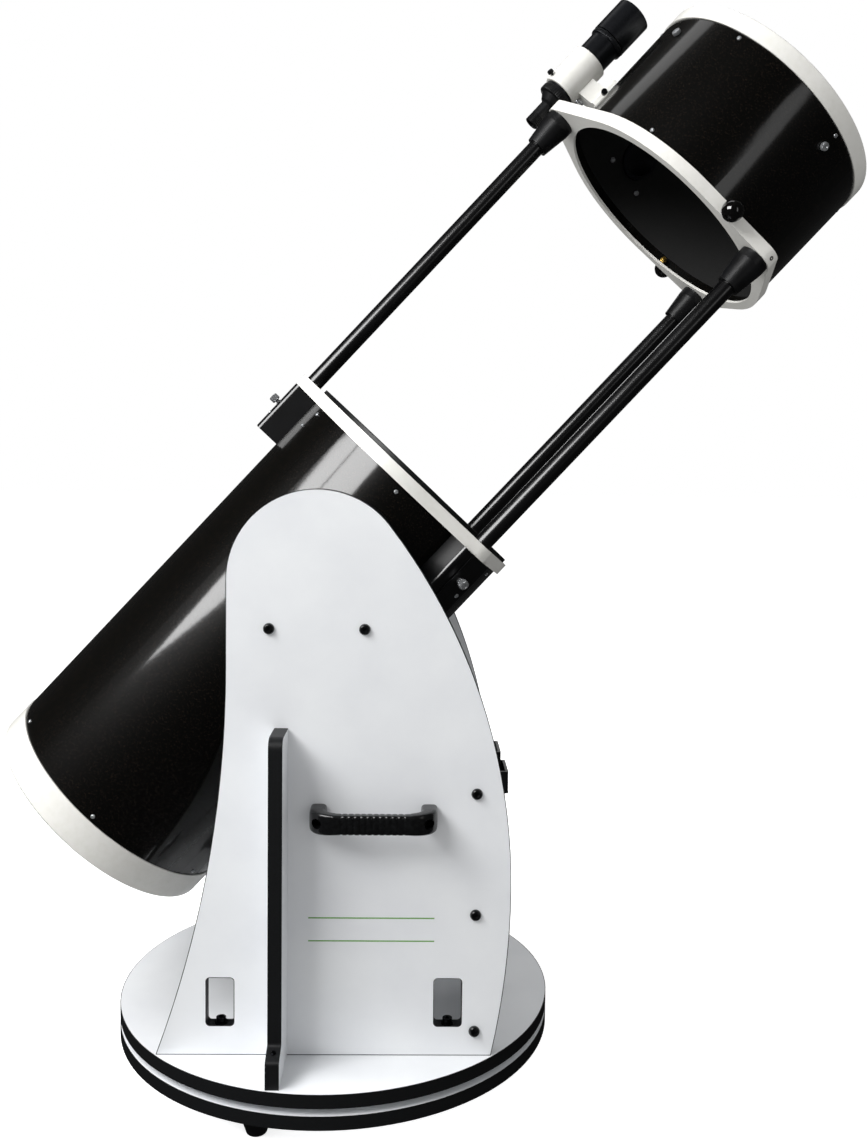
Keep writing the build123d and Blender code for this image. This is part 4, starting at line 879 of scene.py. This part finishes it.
def addHandles():
    shape = handleShape()
    recess = turned([(0, handleSet["recessFloor"]), (handleSet["recess"], handleSet["recessFloor"]),
                     (handleSet["recess"], 60), (0, 60)], 48)
    dome = [(4.6 * math.cos(math.radians(a)), 0.6 + 2.2 * math.sin(math.radians(a))) for a in (20, 40, 60)]
    screw = turned([(4.6, 0), (4.6, 0.6)] + dome + [(2.2, 2.6, "cross"), (2.0, 1.4, "cross"), (0, 1.1)], 48)
    bows, cutters, screws = [], [], []
    for side, face in ((-1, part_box("near_side_panel")[0].y), (1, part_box("far_side_panel")[1].y)):
        middle = Vector((handleSet["x"] / 1000, face, deckTop + handleSet["overDeck"] / 1000))
        place = standing(middle, (0, side, 0), (1, 0, 0))
        bows.append((*shape, place))
        for way in (-1, 1):
            hole = standing(middle + Vector((way * handleSet["holes"] / 1000, 0, 0)), (0, side, 0), (1, 0, 0))
            cutters.append((*recess, hole))
            lift = Matrix.Translation((0, 0, handleSet["recessFloor"] / 1000))
            screws.append((*screw, hole @ lift))
    handles = makePiece("carryHandlesMoulded", bows, "capBlack", "rocker",
                        ["carry_handles"], sharp=50)
    drillOut(handles, cutterPiece(cutters))
    handles.data.shade_smooth()
    handles.data.set_sharp_from_angle(angle=math.radians(50))
    makePiece("handleScrews", screws, "blackScrew", "rocker")


ruleSet = {"from": -21.5, "to": 145.5, "heights": (155.5, 186.5), "wide": 1.7, "proud": 0.12}


def addPrintedRules():
    # two plain printed rules on the near panel
    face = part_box("near_side_panel")[0].y * 1000
    shapes = []
    for height in ruleSet["heights"]:
        low = deckTop * 1000 + height - ruleSet["wide"] / 2
        high = deckTop * 1000 + height + ruleSet["wide"] / 2
        left, right = ruleSet["from"], ruleSet["to"]
        points = []
        for y in (face + 0.02, face - ruleSet["proud"]):
            points += [(left, y, low), (right, y, low), (right, y, high), (left, y, high)]
        faces = [(4, 5, 6, 7), (0, 1, 5, 4), (1, 2, 6, 5), (2, 3, 7, 6), (3, 0, 4, 7), (3, 2, 1, 0)]
        shapes.append((points, faces, Matrix.Identity(4)))
    makePiece("printedRules", shapes, "greenInk", "rocker")


addCapScrews()
addHandles()
addPrintedRules()
print("rocker fittings are on")


# ---- lower tube: lining, screws, thumbscrews, collimation knobs

tubeRadius = 183.5          # outside of both tubes
tubeSegments = 160

liningSet = {
    "radius": 181.65, "skin": 0.15, "steps": 6,
    "lowerFrom": -404.0, "lowerTo": 186.6, "cageFrom": 732.2, "cageTo": 933.6,
}


def liningShape(fromMm, toMm):
    radius, steps = liningSet["radius"], liningSet["steps"]
    inner = radius - liningSet["skin"]
    rows = [(radius, fromMm), (radius, toMm), (inner, toMm)]
    rows += [(inner, toMm + (fromMm - toMm) * step / steps) for step in range(1, steps + 1)]
    return turned(rows + [(radius, fromMm)], tubeSegments)


tubePlace = standing(altitudePoint, along, top)


def addLowerLining():
    shape = liningShape(liningSet["lowerFrom"], liningSet["lowerTo"])
    makePiece("lowerTubeLining", [(*shape, tubePlace)], "flatBlack", "lower_tube_assembly")


panHead = {"radius": 3.1, "height": 1.9, "cross": 1.7}


def panHeadShape(scale=1.0):
    r, h, x = panHead["radius"] * scale, panHead["height"] * scale, panHead["cross"] * scale
    dome = [(r * 0.96, 0), (r, 0.2)]
    dome += [(r * math.cos(math.radians(a)), 0.2 + (h - 0.2) * math.sin(math.radians(a)))
             for a in (18, 36, 52)]
    return turned(dome + [(x * 1.05, h * 0.93, "cross"), (x, h * 0.7, "cross"), (0, h * 0.45)], 32)


tubeScrewSet = {
    "midRing": [(way * around, 153.0) for around in (28.5, 88.6, 160.0) for way in (-1, 1)],
    "housings": [(-24.3, 127.0), (24.3, 127.0)],
    "rearRow": [(30 + 60 * i, -447.9) for i in range(6)],
    "cageLow": [(61 + 60 * i, 739.5) for i in range(6)],
    "cageHigh": [(61 + 60 * i, 906.5) for i in range(6)],
}


def addTubeScrews():
    shape = panHeadShape()
    rows = tubeScrewSet["midRing"] + tubeScrewSet["housings"] + tubeScrewSet["rearRow"]
    shapes = [(*shape, standing(tubePoint(at, tubeRadius, around), tubeOut(around))) for around, at in rows]
    makePiece("tubePanHeads", shapes, "zinc", "lower_tube_assembly", ["tube_screws"])


lipTrim = {"gap": 0.02, "wall": 0.45, "corner": 0.2, "from": 181.6, "to": 186.9}


def addLipTrim():
    # thin dull trim round the lip that stands out of the middle ring
    low, high, inside = lipTrim["from"], lipTrim["to"], tubeRadius + lipTrim["gap"]
    outside, corner = inside + lipTrim["wall"], lipTrim["corner"]
    shape = turned([(outside, low), (outside, high - corner), (outside - corner, high), (inside, high),
                    (inside, low), (outside, low)], tubeSegments)
    makePiece("tubeLipTrim", [(*shape, tubePlace)], "abs", "lower_tube_assembly")


strutAround = {"top": 0, "near": 129, "far": -129}
strutSet = {"circle": 205.0, "from": 95.0, "to": 727.75, "outer": 12.5, "inner": 11.0, "corner": 0.5}


def addSlidingStruts():
    outer, inner, low, high = strutSet["outer"], strutSet["inner"], strutSet["from"], strutSet["to"]
    corner = strutSet["corner"]
    shape = turned([(inner, low), (outer - corner, low), (outer, low + corner), (outer, high - corner),
                    (outer - corner, high), (inner, high), (inner, low)], 128)
    shapes = [(*shape, standing(tubePoint(0, strutSet["circle"], around), along, top))
              for around in strutAround.values()]
    makePiece("slidingStruts", shapes, "strutPaint", "cage",
              ["top_strut", "near_strut", "far_strut"])


lockSet = {
    "at": 124.8, "tip": 217.9, "collar": 223.5, "neck": 228.5, "end": 237.5,
    "headR": 6.5, "knurls": 24, "knurlDepth": 0.7,
}
dragScrew = {"at": 106, "out": 221.0, "aside": 17}


def addStrutLocks():
    s = lockSet
    knurl = (s["knurls"], s["knurlDepth"])
    base = s["tip"]
    rows = [(0, 0), (2.2, 0), (3.0, 0.8)]
    rows += [(r, h - base) for r, h in (
        (3.0, s["collar"]), (4.5, s["collar"]), (4.5, s["collar"] + 1.6), (4.1, s["collar"] + 2.0),
        (3.0, s["collar"] + 2.0), (3.0, s["neck"]), (5.2, s["neck"]))]
    rows += [(s["headR"] - 0.3, s["neck"] + 0.5 - base), (s["headR"], s["neck"] + 1.1 - base, knurl),
             (s["headR"], s["end"] - 1.1 - base, knurl), (s["headR"] - 0.4, s["end"] - 0.4 - base),
             (s["headR"] - 1.0, s["end"] - base), (3.4, s["end"] - base),
             (3.0, s["end"] - 0.7 - base), (0, s["end"] - 0.9 - base)]
    shape = turned(rows, 96)
    for name, around in strutAround.items():
        place = standing(tubePoint(s["at"], base, around), tubeOut(around))
        makePiece(name + "ThumbScrew", [(*shape, place)], "chrome", name + "_lock",
                  [name + "_strut_lock"], sharp=28)
    # one small plated screw beside each thumbscrew sets the housing's drag
    small = panHeadShape(1.05)
    shapes = []
    for around in strutAround.values():
        way = 1 if around >= 0 else -1
        out = tubeOut(around)
        aside = along.cross(out) * (way * dragScrew["aside"] / 1000)
        spot = tubePoint(dragScrew["at"], dragScrew["out"], around) + aside
        shapes.append((*small, standing(spot, out)))
    makePiece("housingScrews", shapes, "zinc", "lower_tube_assembly")


collimationSet = {
    "circle": 112, "from": -496.0, "to": -483.0, "radius": 13.0,
    "lobes": 6, "lobeDepth": 2.2, "screwR": 3.0, "screwTo": -445.0,
}


def addCollimationKnobs():
    s = collimationSet
    lobes = (s["lobes"], s["lobeDepth"])
    long = s["to"] - s["from"]
    rows = [(0, 1.0), (4.0, 1.0), (4.6, 0.3), (s["radius"] - 3.0, 0.0, (s["lobes"], s["lobeDepth"] * 0.6)),
            (s["radius"] - 0.9, 0.7, lobes), (s["radius"], 2.2, lobes), (s["radius"], long - 2.6, lobes),
            (s["radius"] - 0.9, long - 1.2, lobes), (6.4, long - 0.8), (6.0, long), (s["screwR"], long),
            (s["screwR"], s["screwTo"] - s["from"]), (0, s["screwTo"] - s["from"])]
    shape = turned(rows, 96)
    for i in range(3):
        place = standing(tubePoint(s["from"], s["circle"], 120 * i), along, top)
        makePiece("collimationLobeKnob" + str(i + 1), [(*shape, place)], "abs", "collimator_" + str(i + 1),
                  ["collimation_knob_" + str(i + 1)])


mirrorMarkAt = -407.7


def addMirrorMark():
    # paper ring at the mirror's middle, for lining the optics up
    shape = turned([(4.0, 0), (4.0, 0.12), (7.2, 0.12), (7.2, 0)], 48)
    place = standing(tubePoint(mirrorMarkAt, 0), along, top)
    makePiece("mirrorCentreRing", [(*shape, place)], "flatBlack", "lower_tube_assembly")


addLowerLining()
addTubeScrews()
addLipTrim()
addSlidingStruts()
addStrutLocks()
addCollimationKnobs()
addMirrorMark()
print("lower tube fittings are on")


# ---- cage: lining, spider screws, grip nuts, focuser and finder fittings

focusSet = {
    "around": -60, "at": 808.0,
    "knobR": 19.0, "knobFrom": 34.0, "knobTo": 51.0, "knurls": 36, "knurlDepth": 1.1,
    "axleR": 4.0, "drop": 43.0, "height": 222.0,
    "collarR": 36.0, "collarFrom": 262.0, "clampAt": 273, "clampAround": (35, 145),
    "plateScrew": 37.0, "plateTop": 195.5, "nutR": 181.4, "holeR": 32.0,
}


def addCageLining():
    shape = liningShape(liningSet["cageFrom"], liningSet["cageTo"])
    lining = makePiece("cageLining", [(*shape, tubePlace)], "flatBlack", "cage")
    hole = turned([(0, 0), (focusSet["holeR"], 0), (focusSet["holeR"], 60), (0, 60)], 72)
    around = focusSet["around"]
    place = standing(tubePoint(focusSet["at"], 150, around), tubeOut(around))
    drillOut(lining, cutterPiece([(*hole, place)]))
    lining.data.shade_smooth()
    lining.data.set_sharp_from_angle(angle=math.radians(40))


spiderSet = {
    "at": 884.0, "around": (30, 120, 210, 300),
    "radius": 6.0, "long": 6.0, "knurls": 22, "knurlDepth": 0.6,
}
diagonalScrews = {"at": 901.0, "circle": 12.0, "around": (60, 180, 300)}


def addSpiderScrews():
    s = spiderSet
    knurl = (s["knurls"], s["knurlDepth"])
    rows = [(0, -9.4), (2.0, -9.4), (2.5, -8.8), (2.5, 0.1), (3.6, 0.1), (3.6, 1.0),
            (s["radius"] - 0.5, 1.0), (s["radius"], 1.6, knurl), (s["radius"], s["long"] - 1.0, knurl),
            (s["radius"] - 0.5, s["long"] - 0.3), (s["radius"] - 1.1, s["long"]),
            (2.4, s["long"]), (2.0, s["long"] - 0.6), (0, s["long"] - 0.7)]
    shape = turned(rows, 88)
    shapes = [(*shape, standing(tubePoint(s["at"], tubeRadius, a), tubeOut(a))) for a in s["around"]]
    pan = panHeadShape()
    for around, row in tubeScrewSet["cageLow"] + tubeScrewSet["cageHigh"]:
        shapes.append((*pan, standing(tubePoint(row, tubeRadius, around), tubeOut(around))))
    makePiece("cageScrewHeads", shapes, "zinc", "cage", ["cage_screws"], sharp=28)
    # three small screws tilt the diagonal, round the one that holds it
    head = turned([(2.6, 0), (2.8, 0.3), (2.8, 2.2), (2.4, 2.6), (1.5, 2.6, "hex"),
                   (1.5, 1.2, "hex"), (0, 1.0)], 36)
    at, circle = diagonalScrews["at"], diagonalScrews["circle"]
    shapes = [(*head, standing(tubePoint(at, circle, a), along, tubeOut(a)))
              for a in diagonalScrews["around"]]
    middle = turned([(4.6, 0), (4.8, 0.4), (4.8, 3.6), (4.3, 4.2), (2.4, 4.2, "cross"),
                     (2.2, 2.6, "cross"), (0, 2.2)], 48)
    shapes.append((*middle, standing(tubePoint(at, 0.0), along, top)))
    makePiece("diagonalTiltScrews", shapes, "blackScrew", "cage")


gripSet = {"around": (107, -107), "at": 723.0, "innerR": 175.7, "grubR": 229.0}


def addGripNuts():
    at = gripSet["at"]
    nut = turned([(0, 0), (4.2, 0), (5.4, 0.1, "hex"), (5.4, 3.6, "hex"), (4.2, 3.9), (3.0, 4.0),
                  (2.4, 6.4), (0, 7.0)], 48)
    shapes = [(*nut, standing(tubePoint(at, gripSet["innerR"], a), -tubeOut(a))) for a in gripSet["around"]]
    makePiece("gripNuts", shapes, "brass", "cage")
    # a grub screw in each ear holds its strut
    grub = turned([(0, -0.2), (3.0, -0.2), (3.0, 0.25), (2.6, 0.35), (1.6, 0.35, "hex"),
                   (1.6, -0.15, "hex"), (0, -0.18)], 36)
    shapes = [(*grub, standing(tubePoint(at, gripSet["grubR"], a), tubeOut(a))) for a in strutAround.values()]
    makePiece("earGrubScrews", shapes, "blackScrew", "cage")


def addFocuserFittings():
    s = focusSet
    out = tubeOut(s["around"])
    across = out.cross(along)
    axleFoot = tubePoint(s["at"] - s["drop"], s["height"], s["around"])
    knurl = (s["knurls"], s["knurlDepth"])
    r, a, b = s["knobR"], s["knobFrom"], s["knobTo"]
    half = [(s["axleR"], a), (9.0, a), (9.0, a + 1.4), (r - 1.0, a + 1.4),
            (r, a + 2.4, knurl), (r, b - 2.6, knurl), (r - 1.0, b - 1.2), (r - 2.6, b - 0.3),
            (r - 6.5, b), (r - 7.2, b - 0.8), (5.5, b - 0.9), (4.6, b - 0.4), (0, b - 0.3)]
    rows = [(radius, -height, *more) for radius, height, *more in reversed(half)] + half
    makePiece("focusKnobPair", [(*turned(rows, 144), standing(axleFoot, across, along))], "abs", "focus_axle",
              ["focus_knobs"], sharp=28)
    # plate screws outside, and their nuts inside the cage
    head = panHeadShape(1.25)
    nut = turned([(4.2, 0, "hex"), (4.2, 2.6, "hex"), (3.6, 3.0), (2.0, 3.0), (2.0, 4.6), (0, 4.8)], 36)
    heads, nuts = [], []
    for x in (-1, 1):
        for y in (-1, 1):
            corner = (along * x + across * y) * (s["plateScrew"] / 1000)
            heads.append((*head, standing(tubePoint(s["at"], s["plateTop"], s["around"]) + corner, out)))
            turn = s["around"] - y * math.degrees(s["plateScrew"] / 181.6)
            inside = tubePoint(s["at"] + x * s["plateScrew"], s["nutR"], turn)
            nuts.append((*nut, standing(inside, -tubeOut(turn))))
    makePiece("focuserPlateScrews", heads, "zinc", "cage")
    makePiece("focuserPlateNuts", nuts, "zinc", "cage")
    # two thumbscrews clamp the eyepiece, and ribs run round the collar
    screw = turned([(1.8, 0), (1.8, 3.0), (4.0, 3.0), (4.4, 3.5, (16, 0.5)), (4.4, 9.0, (16, 0.5)),
                    (3.9, 9.5), (0, 9.6)], 64)
    shapes = []
    for turn in s["clampAround"]:
        way = along * math.cos(math.radians(turn)) + across * math.sin(math.radians(turn))
        spot = tubePoint(s["at"], s["clampAt"], s["around"]) + way * (s["collarR"] / 1000 - 0.0002)
        shapes.append((*screw, standing(spot, way, out)))
    makePiece("eyepieceThumbScrews", shapes, "chrome", "drawtube")
    ribs = turned([(35.9, 0.6), (36.5, 0.8, (90, 0.5)), (36.5, 6.0, (90, 0.5)), (35.9, 6.2)], 360)
    place = standing(tubePoint(s["at"], s["collarFrom"], s["around"]), out, along)
    makePiece("collarGripBand", [(*ribs, place)], "anodised", "drawtube")


finderSet = {
    "around": -13.4, "circle": 249.8, "eyepieceFrom": 697.5, "collarFrom": 736.0, "collarTo": 758.0,
    "knobAt": 769.0, "knobAround": (-45, 45), "bracketR": 29.3, "plungerR": 28.8, "lockRingAt": 861.4,
    "clampAt": 797.0, "clampR": 190.2, "clampAside": 19,
}


def finderPoint(mmAlong):
    return tubePoint(mmAlong, finderSet["circle"], finderSet["around"])


def addFinderFittings():
    s = finderSet
    out = tubeOut(s["around"])
    low = s["eyepieceFrom"]
    rows = [(0, 6.0), (7.0, 6.0), (7.0, 0.8), (8.2, 0.0), (10.2, 0.3), (10.9, 1.2)]
    for ridge in range(5):      # rubber rings of the eye tube
        h = 3.0 + ridge * 2.6
        rows += [(10.9, h), (10.2, h + 0.5), (10.2, h + 1.1), (10.9, h + 1.6)]
    rows += [(10.9, 36.0), (13.5, s["collarFrom"] - low), (15.0, s["collarFrom"] + 0.6 - low),
             (21.5, s["collarFrom"] + 9.4 - low), (25.0, s["collarFrom"] + 10.0 - low),
             (26.2, s["collarFrom"] + 10.8 - low, (48, 0.7)), (26.4, s["collarFrom"] + 11.6 - low, (48, 0.7)),
             (26.4, s["collarTo"] - 2.2 - low, (48, 0.7)), (25.6, s["collarTo"] - 1.0 - low),
             (25.2, s["collarTo"] - low), (0, s["collarTo"] - low)]
    makePiece("finderEyeTube", [(*turned(rows, 192), standing(finderPoint(low), along, out))], "abs", "cage",
              ["finder_eyepiece"], sharp=28)
    # two black adjusting screws and the spring plunger that pushes against them
    screw = turned([(0, -4.2), (1.8, -4.2), (1.8, 3.0), (3.9, 3.0), (4.6, 3.6, (18, 0.5)),
                    (4.6, 7.2, (18, 0.5)), (4.0, 8.0), (2.2, 8.0), (2.0, 7.4), (0, 7.3)], 72)
    shapes = []
    for turn in s["knobAround"]:
        way = tubeOut(s["around"] + turn)
        shapes.append((*screw, standing(finderPoint(s["knobAt"]) + way * (s["bracketR"] / 1000), way)))
    makePiece("finderAdjustScrews", shapes, "abs", "cage", ["finder_screws"])
    plunger = turned([(5.2, -1.0), (5.2, 9.0), (4.6, 10.0), (2.0, 10.0), (1.8, 9.4), (0, 9.3)], 48)
    way = tubeOut(s["around"] + 180)
    spot = finderPoint(s["knobAt"]) + way * (s["plungerR"] / 1000)
    makePiece("finderPlunger", [(*plunger, standing(spot, way))], "chrome", "cage")
    # focusing ring behind the dew shield, with fine straight ribs
    ring = turned([(25.2, 0), (27.6, 0.2), (28.2, 0.8, (120, 0.35)), (28.2, 6.6, (120, 0.35)),
                   (27.6, 7.2), (25.2, 7.4)], 480)
    place = standing(finderPoint(s["lockRingAt"]), along, out)
    makePiece("finderLockRing", [(*ring, place)], "anodised", "cage")
    # clamp screw in the near side of the shoe
    clamp = turned([(2.0, -0.5), (2.0, 2.0), (4.2, 2.0), (4.8, 2.5, (18, 0.5)), (4.8, 8.0, (18, 0.5)),
                    (4.2, 8.6), (0, 8.7)], 72)
    side = along.cross(out)
    spot = tubePoint(s["clampAt"], s["clampR"], s["around"]) + side * (s["clampAside"] / 1000)
    makePiece("shoeClampScrew", [(*clamp, standing(spot, side))], "blackScrew", "cage")


addCageLining()
addSpiderScrews()
addGripNuts()
addFocuserFittings()
addFinderFittings()
print("cage fittings are on")


# ---- floor

def addFloor():
    half = floorSet["half"]
    mesh = bpy.data.meshes.new("studioFloor")
    corners = [(-half, -half, 0), (half, -half, 0), (half, half, 0), (-half, half, 0)]
    mesh.from_pydata(corners, [], [(0, 1, 2, 3)])
    floor = bpy.data.objects.new("studioFloor", mesh)
    floor.visible_glossy = False      # gloss shows the dark studio, not the paper
    floor.visible_diffuse = False     # and its glow lights nothing
    bpy.context.scene.collection.objects.link(floor)
    mesh.materials.append(finishes["floor"])


addFloor()
